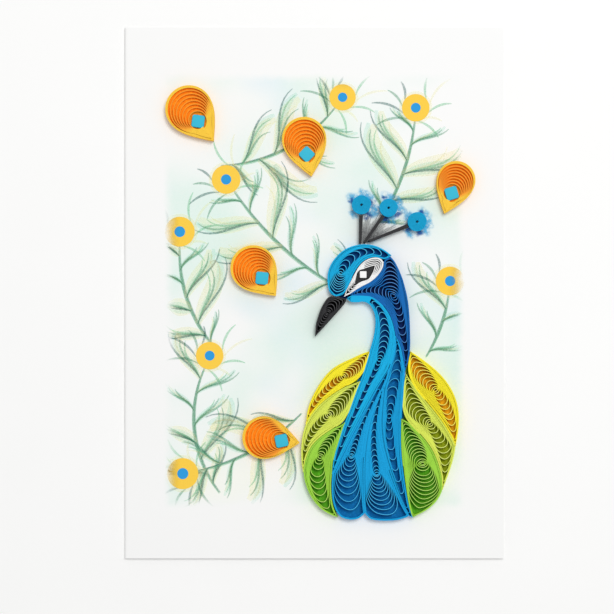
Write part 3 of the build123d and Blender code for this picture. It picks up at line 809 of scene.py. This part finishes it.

# %% [markdown]
# ## Shade between the turns
#
# Between the turns one looks down a slit of 3 mm depth and half a millimetre's width, and sees
# dyed paper and shade, never white card. That shade is painted: a thin film under each coil, in a
# deep tone of the coil's own colour, keeps the slits dark from every side. Films of painted shade
# also lie under the head and under the seams. Where films overlap, each has a height of its own,
# because two faces in one plane would flicker.

# %% Films of painted shade
def shade_film_material(name, colour):
    """Painted shade under a coil: an even dark colour that a fine speckle breaks a little."""
    material, shader, place = blank(name, 0.85)
    lighter = tuple([value * 1.5 + 0.004 for value in colour[:3]] + [1.0])
    place.speckle(1400.0, 3.0).between(0.45, 0.8).blend(colour, lighter).into(shader, "Base Color")
    return material


# By slot: the painted shade in the slits of each paper's coils, in a deep tone of its colour. The orange
# one under the feather eyes paints light bounced between their walls.
shade_tones = {
    "crown_blue": ("deep_blue_ground", (2, 84, 140)),
    "breast_blue": ("deep_azure_ground", (0, 113, 169)),
    "nape_blue": ("night_blue_ground", (2, 44, 100)),
    "yellow": ("ochre_ground", (228, 168, 24)),
    "lime": ("olive_ground", (148, 158, 26)),
    "green": ("leaf_green_ground", (94, 170, 36)),
    "golden": ("orange_ground", (255, 146, 24)),
    "dark_grey": ("black_ground", (14, 14, 16)),
    "olive_shade": ("olive_shade_ground", (112, 140, 28)),
    "eye_shade": ("grey_brown_ground", (64, 58, 54)),
}
shade_materials = {slot: shade_film_material(name, seen(*colour)) for slot, (name, colour) in shade_tones.items()}
print("grounds:", len(shade_materials))

# %% Lay the painted shade under the head and along the seams
shade_foot = card_front - 0.05
head_height, wing_height, seam_height, coil_height = 0.12, 0.13, 0.14, 0.16


def lay_shade_film(name, ring, slot, height=coil_height):
    """A film of painted shade with the outline of a ring."""
    shade_sheet = bmesh.new()
    raise_form(shade_sheet, ring, shade_foot, card_front + height)
    make_piece(name + "_ground", shade_sheet, shade_materials[slot], "card_white")


def lay_seam_shade(name, lines, slot, width, height):
    """Bands of painted shade along some lines, all in one piece. They end a little before the lines do."""
    shade_sheet = bmesh.new()
    for line in lines:
        path = line[3:-3]
        raise_strip(shade_sheet, path, [width] * len(path), (), shade_foot, card_front + height)
    make_piece(name + "_ground", shade_sheet, shade_materials[slot], "card_white")


head_middle = [
    8.6+0.6j, 7.0+5.0j, 9.4+10.8j, 16.0+14.4j, 22.8+13.2j, 25.5+11.8j, 28.0+5.0j, 29.4-2.0j, 24.0-3.0j,
    19.0-1.6j, 12.8-1.9j, 10.2-2.0j, 8.2-1.3j]
breast_seams = [stretch(neck_front, 10, 22), neck_and_left, left_and_right + left_and_middle,
                middle_and_right, right_outer, nape_tail, neck_and_tip, neck_back]
wing_seams = [left_yellow_and_lime, left_lime_and_green, right_yellow_and_lime[4:], right_lime_and_green,
              left_green_and_foot]
# Painted shade where the coils of the head meet, and in the seams between the coils.
lay_shade_film("head", head_middle, "nape_blue", head_height)
lay_seam_shade("seam", breast_seams, "breast_blue", 1.5, seam_height)
lay_seam_shade("wing", wing_seams, "olive_shade", 1.8, wing_height)
print("seams with a ground:", len(breast_seams) + len(wing_seams))

# %% Wind the coils
coil_sag = 0.12
tongue_room = 2.0
for node, (slot, plan, *settling) in coils.items():
    strip = bmesh.new()
    lobes = lobes_of(**plan)
    path, thicknesses, apart = wind(lobes, plan["turns"], *settling)
    raise_strip(strip, path, thicknesses, apart, card_front, strip_top, coil_sag)
    for lobe in lobes:
        if lobe.opens > lobe.tight_end + tongue_room:
            raise_strip(strip, *lobe.tongue(), card_front, strip_top - 0.02, coil_sag)
    piece = make_piece(node + "_strip", strip, papers[slot], slot, node)
    # Painted shade under the coil's turns.
    lay_shade_film(node, join(*plan["sides"])[:-1:2], slot)
    print(piece.name, "is", length_of(path), "mm long and has", len(piece.data.polygons), "faces")

# %% [markdown]
# ## Coils that go over from one form to another
#
# The eye, the feather eyes and the tight discs are simpler. Their turns start as the outline and
# go over, turn by turn, into the form in the middle. Both forms are divided into the same number
# of points, so a turn lies a share of the way from each outer point to its inner one.

# %% Strips between two rings
apart_from, apart_gain = 1.15, 1.6


def divided(line, count):
    """A line cut at equal steps, without its last point."""
    side = Side(line)
    return [side.at(step / count) for step in range(count)]


def nest(outer, inner, turns, widest):
    """A strip that winds from an outer ring to an inner one. It is as thick as its turns leave
    room for, up to the widest that is given for each point of the ring."""
    path, thicknesses, apart = [], [], []
    count = len(outer)
    for step in range(turns * count + 1):
        n, share = step % count, step / count / turns
        before, here, after = [outer[m] + (inner[m] - outer[m]) * share
                               for m in (n - 1, n, (n + 1) % count)]
        path.append(here)
        ahead = after - before
        across = abs(((inner[n] - outer[n]) * ahead.conjugate()).imag) / abs(ahead) / turns
        thicknesses.append(min(widest[n], max(across - air, thinnest)))
        apart.append(min(max(across / thicknesses[-1] - apart_from, 0.0) * apart_gain, 1.0))
    return path, thicknesses, apart


def towards(ring, other, amount):
    """Each point of a ring, moved by an amount towards its partner on another ring."""
    return [a + (b - a) / abs(b - a) * amount for a, b in zip(ring, other)]


print("strips between rings ready")

# %% [markdown]
# ## The eye
#
# A white coil lies round a black one, and that one round a small white square. The white strip
# makes three tight turns as a rim and four turns inside it. Those are pressed together beside the
# black lens and bow out in fine arches behind it. In front of it they don't reach the corner but
# turn back in arches.

# %% Rings of the eye
lens_top = curve(12.9+2.0j, 13.9+4.9j, 14.9+7.3j, 17.2+8.1j, 20.0+9.1j)
lens_low = curve(12.9+2.0j, 15.5+3.9j, 17.9+4.7j, 19.2+6.7j, 20.0+9.1j)
pupil = 16.3+6.1j
pupil_half = 1.15


def eye_ring(low, top, count=44):
    """A ring from the front corner along the low side to the back corner, and home by the top."""
    return divided(low, count) + divided(top[::-1], count)


def turned_back(ring, reach):
    """A ring that doesn't go all the way to its front corner, but crosses over in an arch."""
    near, far = ring[-reach], ring[reach]
    forward = (ring[0] - (near + far) / 2) * 0.5
    steps = [n / (2 * reach) for n in range(2 * reach)]
    arch = [near + (far - near) * step + forward * sin(pi * step) for step in steps]
    return arch[reach:] + ring[reach:-reach] + arch[:reach]


eye_edge = eye_ring(eye_low, eye_top)
lens_edge = eye_ring(lens_low, lens_top)
corners = [pupil + pupil_half * corner for corner in (-1-1j, 1-1j, 1+1j, -1+1j)]
pupil_ring = eye_ring(corners[:3], [corners[0], corners[3], corners[2]])
print("a ring of the eye has", len(eye_edge), "points")

# %% Wind the eye
fine_sag = 0.08
white_rim_turns, white_turns, black_turns = 3, 4, 5
white_rim_width = 0.72
edge_inset, lens_inset = 0.12, 0.14
front_points, side_points = 10, 30
front_paper, side_paper, back_paper = 0.2, 0.5, 0.26
any_width = [0.5] * len(eye_edge)
eye_papers = []
for n in range(len(eye_edge)):
    from_corner = min(n, len(eye_edge) - n)
    beside = side_paper if from_corner < side_points else back_paper
    eye_papers.append(front_paper if from_corner < front_points else beside)

rim_inside = towards(eye_edge, lens_edge, white_rim_width)
lens_side = towards(lens_edge, eye_edge, lens_inset)
turns = nest(towards(eye_edge, lens_edge, edge_inset), rim_inside, white_rim_turns, any_width)
rings = [[a + (b - a) * step / white_turns for a, b in zip(rim_inside, lens_side)]
         for step in range(white_turns + 1)]
rings = [turned_back(ring, 3 + 2 * step) for step, ring in enumerate(rings)]
for ring, next_ring in zip(rings, rings[1:]):
    more = nest(ring, next_ring, 1, eye_papers)
    turns = [first + second[1:] for first, second in zip(turns, more)]
eye = bmesh.new()
raise_strip(eye, *turns, card_front, strip_top, fine_sag)
print("the white strip is", length_of(turns[0]), "mm long")
make_piece("eye_white_strip", eye, papers["white"], "white", "eye_white_coil")

path, thicknesses, _ = nest(towards(lens_edge, pupil_ring, lens_inset),
                            towards(pupil_ring, lens_edge, edge_inset), black_turns, any_width)
lens = bmesh.new()
raise_strip(lens, path, thicknesses, (), card_front, strip_top, fine_sag)
print("the black strip is", length_of(path), "mm long")
make_piece("eye_black_strip", lens, papers["dark_grey"], "dark_grey", "eye_black_coil")
# Painted shade in the slits of the white and the black coil of the eye.
lay_shade_film("eye_white_coil", towards(eye_edge, lens_edge, 0.4)[::4], "eye_shade", 0.3)
lay_shade_film("eye_black_coil", lens_edge[::4], "dark_grey", 0.4)

# %% [markdown]
# ## Small squares
#
# The squares in the feather eyes and in the bird's eye are strips pressed so flat and square that
# no turns show. Each is a square of eight points, raised, with a soft bevel round its top.

# %% Press the squares
def square_ring(centre, half, corner, tilt):
    """Eight points of a square with cut corners, turned by a tilt in degrees."""
    return [centre + heading(tilt) * 1j ** quarter * complex(half, side * (half - corner))
            for quarter in range(4) for side in (-1, 1)]


def pressed_square(name, centre, half, corner, tilt, top, slot, node):
    """A raised square with a soft edge round its top."""
    square = bmesh.new()
    rim = raise_form(square, square_ring(centre, half, corner, tilt), card_front, top)
    bmesh.ops.bevel(square, geom=rim, offset=square_bevel * mm, segments=3, profile=0.5, affect="EDGES",
                    material=-1)
    make_piece(name, square, papers[slot], slot, node)


square_bevel = 0.22
pressed_square("eye_square_strip", pupil, pupil_half, 0.15, 0, strip_top, "white", "eye_white_square")
print("the square in the eye is", 2 * pupil_half, "mm wide")

# %% [markdown]
# ## Feather eyes
#
# A feather eye is a drop of golden paper: a tight rim, a narrow slit, and then turns that all
# lean to the tip. They spread into arches at the round end and are pressed together between the
# blue square and the tip. The edges of the arches are painted orange, as light that bounces between
# their walls would colour them, and an orange film raised under the drop paints that bounced light
# and shade into the slits.

# %% Shape the drops
# Centre and radius of the round end, the tip, and the square's middle and tilt
feather_eyes = [
    (-41.8+61.3j, 8.0, -33.6+50.5j, -38.7+57.2j, -8),
    (-3.4+51.3j, 7.5, -1.0+38.7j, -2.5+46.2j, 45),
    (47.3+37.6j, 6.5, 43.3+26.3j, 45.8+33.2j, 17),
    (-20.4+8.3j, 7.7, -12.8-1.2j, -17.4+4.9j, -6),
    (-17.0-48.3j, 7.1, -4.8-50.1j, -10.9-49.3j, 12),
]
drop_points = 72
hollow_radius = 2.75


def drop_ring(centre, radius, tip):
    """Two bowed sides that meet in a tip, and a round end between them."""
    reach = abs(tip - centre)
    ahead = (tip - centre) / reach
    ring = []
    for n in range(drop_points):
        turned = 2 * pi * n / drop_points - pi
        if cos(turned) > 0:
            place = complex(-cos(turned), sin(turned)) * radius
        else:
            side = 1 if turned > 0 else -1
            place = complex(-cos(turned) * reach, side * radius * cos(pi / 2 * cos(turned)))
        ring.append(centre + ahead * place)
    return ring[::-1]


def hollow_ring(square, ahead):
    """The round hollow for a square, whose points go round as those of the drop do."""
    ring = [square + ahead * hollow_radius * point.conjugate() for point in circle(drop_points)]
    return ring[::-1]


print("feather eyes:", len(feather_eyes))

# %% Wind the drops
drop_sag = 0.1
rim_turns, rim_paper, rim_inset, rim_width = 4, 0.4, 0.14, 1.05
rim_slit, slit_narrows = 0.34, 0.75
tip_from, tip_blend = 0.08, 0.34
fan_turns, fan_paper, pressed_paper = 7, 0.34, 0.85
fan_drop = 0.05
square_half, square_corner, square_height = 2.1, 0.45, 3.0
drop_film_inset, drop_film_height = 0.6, 1.8
to_tip = [min(max((cos(2 * pi * n / drop_points) - tip_from) / tip_blend, 0.0), 1.0)
          for n in range(drop_points)]
tip_papers = [fan_paper + (pressed_paper - fan_paper) * share for share in to_tip]
for number, (centre, radius, tip, square, tilt) in enumerate(feather_eyes, 1):
    edge = drop_ring(centre, radius, tip)
    hollow = hollow_ring(square, (tip - centre) / abs(tip - centre))
    drop = bmesh.new()
    rim = nest(towards(edge, hollow, rim_inset), towards(edge, hollow, rim_width), rim_turns,
               [rim_paper] * drop_points)
    raise_strip(drop, *rim, card_front, strip_top, drop_sag)
    fan_edge = [a + (b - a) / abs(b - a) * (rim_width + rim_slit * (1 - slit_narrows * share))
                for a, b, share in zip(edge, hollow, to_tip)]
    fan, fan_thicknesses, _ = nest(fan_edge, hollow, fan_turns, tip_papers)
    # bowed gives the fan's arches the painted orange light on their edges.
    bowed = [1 - to_tip[n % drop_points] for n in range(len(fan))]
    raise_strip(drop, fan, fan_thicknesses, bowed, card_front, strip_top - fan_drop, drop_sag)
    make_piece(f"feather_drop_{number}_strip", drop, papers["golden"], "golden", f"feather_drop_{number}")
    # An orange film raised under the drop: painted bounced light and shade in its slits.
    lay_shade_film(f"feather_drop_{number}", towards(edge, hollow, drop_film_inset)[::3], "golden", drop_film_height)
    pressed_square(f"feather_square_{number}_strip", square, square_half, square_corner, tilt,
                   card_front + square_height, "sky_blue", f"feather_square_{number}")
    print("feather eye", number, "has a rim of", length_of(rim[0]), "mm and turns of", length_of(fan), "mm")

# %% [markdown]
# ## Crest
#
# Three folded black strips fan out from the crown, narrow at the foot and wider at the top, and
# each carries a tight blue disc, wound from the middle without being let loose.

# %% Fold the stems and wind the discs
# Foot of the stem, centre of the disc, and its radius
crest = [
    (15.35+16.5j, 15.75+29.3j, 3.3),
    (16.7+16.75j, 24.8+28.3j, 3.15),
    (18.3+17.2j, 34.3+23.7j, 3.3),
]
stem_foot, stem_flare, stem_paper, stem_thickening = 0.2, 0.1, 0.4, 0.22
disc_turns, disc_points, disc_inset, disc_hole, disc_paper = 12, 48, 0.12, 0.42, 0.185
for number, (foot, centre, radius) in enumerate(crest, 1):
    ray = (centre - foot) / abs(centre - foot)
    top = centre - ray * (radius + 0.1)
    stem = bmesh.new()
    for hand in (-1, 1):
        wall = curve(*[foot + (top - foot) * t + ray * 1j * hand * (stem_foot + stem_flare * t)
                       for t in (0, 0.33, 0.67, 1)])
        thicknesses = [stem_paper + stem_thickening * n / len(wall) for n in range(len(wall))]
        raise_strip(stem, wall, thicknesses, (), card_front, strip_top, drop_sag)
    make_piece(f"crest_stem_{number}_strip", stem, papers["dark_grey"], "dark_grey", f"crest_stem_{number}")
    outside = [centre + (radius - disc_inset) * point for point in circle(disc_points)]
    inside = [centre + disc_hole * point for point in circle(disc_points)]
    turns = nest(outside, inside, disc_turns, [disc_paper] * disc_points)
    disc = bmesh.new()
    raise_strip(disc, *turns, card_front, strip_top, fine_sag)
    print("the strip of disc", number, "is", length_of(turns[0]), "mm long")
    make_piece(f"crest_disc_{number}_strip", disc, papers["disc"], "crown_blue", f"crest_disc_{number}")
print("crest:", len(crest), "stems and discs")

# %% [markdown]
# ## The card and its print
#
# The card is smooth white stock. Its front carries a pale print in the manner of a coloured
# drawing. The soft washes are part of the card's own material: large slow noises choose where
# mint, yellow and blue lie, and all of them fade out before the print's edge.

# %% Card stock with washes
print_half_width = 51.0
print_low, print_high = -73.2, 74.2


def print_field(place, softness=3.0):
    """1 inside the printed field and 0 outside, with a soft edge."""
    ragged = place.speckle(260.0, 3.0, 0.6) * 2.4 * mm
    x = place.part(0).maths("ABSOLUTE", place.part(0)) + ragged
    y = place.part(1)
    across = 1 - x.between((print_half_width - softness) * mm, (print_half_width + 1) * mm)
    below = (y - ragged).between((print_low - 0.5) * mm, (print_low + softness) * mm)
    above = 1 - (y + ragged).between((print_high - softness) * mm, (print_high + 1) * mm)
    return across * below * above


card_white = seen(248, 248, 247)
card_finish, card_shader, card_place = blank("white_card_stock", 0.62)
upward = card_place.node("ShaderNodeNewGeometry", output="Normal").part(2)
high_up = card_place.part(2).between((card_front - 0.2) * mm, (card_front - 0.1) * mm)
field = print_field(card_place) * (upward.between(0.5, 0.9) * high_up)
mint = card_place.speckle(26.0).between(0.34, 0.7) * 0.6
lemon = card_place.moved(0.31, 0.17).speckle(30.0).between(0.56, 0.8) * 0.3
pale_blue = card_place.moved(0.73, 0.52).speckle(24.0).between(0.52, 0.78) * 0.5
grain = 0.75 + card_place.speckle(1500.0, 3.0) * 0.5
washes = (field * mint * grain).blend(card_white, seen(206, 238, 224))
washes = (field * lemon * grain).blend(washes, seen(250, 250, 224))
washes = (field * pale_blue * grain).blend(washes, seen(206, 232, 244))
washes.into(card_shader, "Base Color")
card_place.bump(0.12, card_place.speckle(2600.0, 4.0, 0.6)).into(card_shader, "Normal")
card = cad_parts["folded_card"]
card.data.materials.clear()
card.data.materials.append(card_finish)

table_finish, table_shader, table_place = blank("pale_table_paint", 0.8)
table_place.speckle(30.0).blend(seen(251, 251, 250), seen(253, 253, 252)).into(table_shader, "Base Color")
table_mesh.materials.append(table_finish)
print("card finish:", card_finish.name)

# %% [markdown]
# ## Drawn sprigs
#
# Over the washes lie sprigs drawn as with coloured pencils: a bent stem, long loose leaves on both
# sides, and a round yellow bud with a blue dot. Each pencil line is a film of colour, about a
# tenth of a millimetre high at most, laid with the helper that raises the strips. Its grain comes
# from an uneven alpha. Every line lies a little higher than the last, so no two coincide, and the
# buds lie on top.

# %% Pencil colours
def coloured_pencil(name, colour, cover, grain):
    """A dry pencil line: colour that only takes on the grain of the paper."""
    material, shader, place = blank(name, 0.8)
    shader.inputs["Base Color"].default_value = colour
    tooth = place.speckle(2200.0, 3.0, 0.7).between(0.25, 0.75)
    (print_field(place, 5.0) * (1 - grain + tooth * grain) * cover).into(shader, "Alpha")
    return material


# By pencil: the material's name, its colour, how much it covers, and its grain
pencil_colours = {
    "mint_wash": ("mint_wash", (190, 238, 220), 0.3, 0.55),
    "lemon_wash": ("lemon_wash", (251, 247, 196), 0.32, 0.55),
    "pale_green": ("pale_green_pencil", (146, 216, 172), 0.5, 0.55),
    "green": ("green_pencil", (88, 168, 130), 0.46, 0.55),
    "teal": ("teal_pencil", (44, 118, 112), 0.5, 0.55),
    "grey": ("grey_crest_lines", (110, 110, 114), 0.4, 0.55),
    "bud": ("bud_yellow", (254, 208, 76), 1.0, 0.04),
    "dot": ("dot_blue", (48, 156, 224), 1.0, 0.04),
}
pencils = {pencil: coloured_pencil(name, seen(*colour), cover, grain)
           for pencil, (name, colour, cover, grain) in pencil_colours.items()}
print("pencils:", ", ".join(pencils))

# %% Lay films of colour
film_foot = card_front - 0.005
first_film, film_step = 0.02, 0.0002
bud_films = (0.125, 0.13, 0.135)
drawing = {colour: bmesh.new() for colour in pencils}
laid = []


def next_level():
    """The height of the next film: each lies a little higher than the last."""
    laid.append(1)
    return card_front + first_film + film_step * len(laid)


def on_print(point):
    """Whether a point lies well inside the printed field."""
    return abs(point.real) < print_half_width - 1 and print_low + 1.5 < point.imag < print_high - 1.5


def bent_line(start, direction, length, bend, curl=0.0, steps=11):
    """A line that sets out in a direction in degrees, bends evenly and curls back."""
    point, line = start, [start]
    for step in range(steps):
        share = (step + 0.5) / steps
        point += length / steps * heading(direction + bend * share + curl * sin(pi * share))
        line.append(point)
    return line


def pencil_line(colour, line, width):
    """A line that swells in its middle and runs out at both ends, or stops beside the print."""
    line = list(takewhile(on_print, line))
    if len(line) < 3:
        return
    count = len(line) - 1
    swell = [sin(pi * min(n / count * 0.88 + 0.06, 1)) for n in range(count + 1)]
    widths = [width * (0.1 + 0.9 * amount ** 0.9) for amount in swell]
    raise_strip(drawing[colour], line, widths, (), film_foot, next_level())


print("films lie", film_step, "mm apart")

# %% Draw a leaf
leaf_curl = 34
leaf_line = 0.7


def draw_leaf(start, direction, length, bend, hand, dark):
    """A long loose leaf: washes, a few soft lines in it and one dark line along its back."""
    curl = hand * -leaf_curl
    washes = [("lemon_wash", 9, 0.9, 0.24), ("mint_wash", 5, 0.95, 0.15)]
    for colour, aside, reach, width in washes if dark == "teal" else washes[1:]:
        wash = bent_line(start, direction + hand * aside, length * reach, bend, curl)
        pencil_line(colour, wash, length * width)
    for n in range(1, 4):
        reach = length * (0.97 - 0.08 * n + 0.04 * sin(3.0 * n + length))
        inner = bent_line(start, direction + hand * 3.6 * n, reach, bend * (1 + 0.05 * n), curl)
        pencil_line(("pale_green", "green", "lemon_wash")[(n + len(laid)) % 3], inner, leaf_line)
    pencil_line(dark, bent_line(start, direction, length, bend, curl), leaf_line + 0.02)


print("soft lines are", leaf_line, "mm wide")

# %% Draw a sprig
stem_steps = 24
tuft_lines = 9


def draw_bud(centre, radius):
    """A yellow bud with a blue dot, on a faint round wash."""
    films = (("lemon_wash", 1.2), ("bud", 1.0), ("dot", 0.36))
    for (colour, share), height in zip(films, bud_films):
        ring = [centre + radius * share * point for point in circle(36)]
        raise_form(drawing[colour], ring, film_foot, card_front + height)


def draw_sprig(centre, radius, direction, length, bend, leaves):
    """A stem that starts at a bud, with leaves on both sides of it and a tuft round the bud."""
    stem = bent_line(centre + radius * heading(direction), direction, length, bend, 0, stem_steps)
    for shift, colour, width in ((0, "teal", 0.9), (0.4, "green", 0.7), (-0.35j, "pale_green", 1.1)):
        pencil_line(colour, [point + shift for point in stem], width)
    for n in range(2 * leaves):
        hand = 1 if n % 2 else -1
        share = (n + 0.8) / (2 * leaves)
        loose = sin(5.3 * n + 0.7 * centre.real)
        start = stem[round(share * (stem_steps - 1))]
        size = (19.0 + 6.0 * loose) * (0.75 + 0.35 * sin(pi * share))
        outwards = direction + bend * share + 180 - hand * (40 + 12 * loose)
        paint = "teal" if loose > -0.3 else "green"
        draw_leaf(start, outwards, size, hand * (18 + 26 * loose), hand, paint)
    for n in range(tuft_lines):
        hand = 1 if n % 2 else -1
        spread = direction - hand * (16 + 15 * n)
        start = centre + radius * heading(spread)
        tuft = bent_line(start, spread - hand * 66, 9.0 + 3.0 * sin(2.4 * n), hand * 50, 0)
        pencil_line(("pale_green", "green", "lemon_wash", "teal")[n % 4], tuft, 0.8)
    draw_bud(centre, radius)


print("a tuft has", tuft_lines, "lines")

# %% Lay out the sprigs
# Centre and radius of the bud, then the stem's direction, length, bend and half its leaves
sprigs = [
    (9.5+65.5j, 4.4, 232, 44, -50, 4),
    (-29.5+38.0j, 4.8, 304, 54, 30, 5),
    (-45.0+20.5j, 5.0, 268, 38, 44, 4),
    (-35.0-21.0j, 4.6, 246, 44, 62, 4),
    (-44.0-60.5j, 5.2, 12, 40, 34, 4),
    (45.5+4.0j, 4.8, 262, 22, -24, 2),
    (34.0+62.0j, 4.6, 264, 40, -30, 4),
]
for sprig in sprigs:
    draw_sprig(*sprig)
print("sprigs:", len(sprigs), "with", len(laid), "films")

# %% Grey lines that fan out behind the crest
# Grey lines fan out from the foot of the crest, between its stems.
for n in range(22):
    share = n / 21
    foot = 16.0+16.6j + (2.6+0.4j) * share
    pencil_line("grey", bent_line(foot, 92 - 66 * share, 9.0 + 2.0 * sin(5.0 * n), -4), 0.7)
print("grey lines drawn, films so far:", len(laid))

# %% Splashes of blue
def splash_paint(name, colour, cover):
    """Watered paint: it fades from the middle of a splash to its edge and pools in blotches."""
    material, shader, place = blank(name, 0.8)
    shader.inputs["Base Color"].default_value = colour
    middle = place.node("ShaderNodeAttribute", {"attribute_name": "middle"}, output="Fac")
    pooled = place.speckle(520.0, 3.0, 0.6).between(0.3, 0.62)
    (middle.between(0.0, 0.75) * pooled * cover).into(shader, "Alpha")
    return material


def splash(bm, centre, radius, phase):
    """A round film with a wavy edge, whose attribute middle falls from 1 to 0 at the edge."""
    layer = bm.verts.layers.float.get("middle") or bm.verts.layers.float.new("middle")
    made = bmesh.ops.create_circle(bm, cap_ends=True, cap_tris=True, segments=30, radius=radius * mm)
    for vertex in made["verts"]:
        place = complex(vertex.co.x, vertex.co.y) / mm
        vertex[layer] = 1.0 if abs(place) < 0.1 else 0.0
        wave = 1 + 0.2 * sin(3 * Vector(vertex.co.xy).angle_signed(Vector((1, 0)), 0.0) + phase)
        vertex.co = spot(centre + place * wave, film_foot)
    flat = list({face for vertex in made["verts"] for face in vertex.link_faces})
    high = next_level()
    raise_faces(bm, flat, lambda vertex: high)


# By depth: its bmesh, its paint, and the place and radius of each dab round a disc
splashes = {
    "light": (bmesh.new(), splash_paint("light_blue_splash", seen(84, 186, 232), 0.75), [
        (-2.6+2.2j, 3.0), (2.4+2.6j, 2.8), (3.2-2.0j, 2.9), (-2.2-2.8j, 2.4), (0.4+4.0j, 2.2)]),
    "deep": (bmesh.new(), splash_paint("deep_blue_splash", seen(40, 96, 170), 0.8), [
        (3.4+1.0j, 1.8), (2.0-3.4j, 2.0), (-3.4+1.6j, 1.3)]),
}
for name, (paint, finish_of_paint, dabs) in splashes.items():
    for number, (foot, centre, radius) in enumerate(crest):
        for n, (place, size) in enumerate(dabs):
            splash(paint, centre + place * rect(1, -0.8 * number), size, 2.0 * n + number)
    make_piece(f"printed_{name}_splashes", paint, finish_of_paint, "card_white")
print("splashes of blue laid, films:", len(laid))

# %% Turn the drawing into pieces
for colour, lines in drawing.items():
    piece = make_piece(f"printed_{colour}_lines", lines, pencils[colour], "card_white")
    print(piece.name, len(piece.data.polygons), "faces")

# %% [markdown]
# ## Measure the dressed card
#
# The last cell measures the dressed card against the CAD box and prints by how much it has grown.

# %% Measure and finish
bpy.context.view_layer.update()
dressed_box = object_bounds()
growth = (dressed_box[1] - dressed_box[0]) - (cad_box[1] - cad_box[0])
print("grown by", [round(v / mm, 3) for v in growth], "mm")
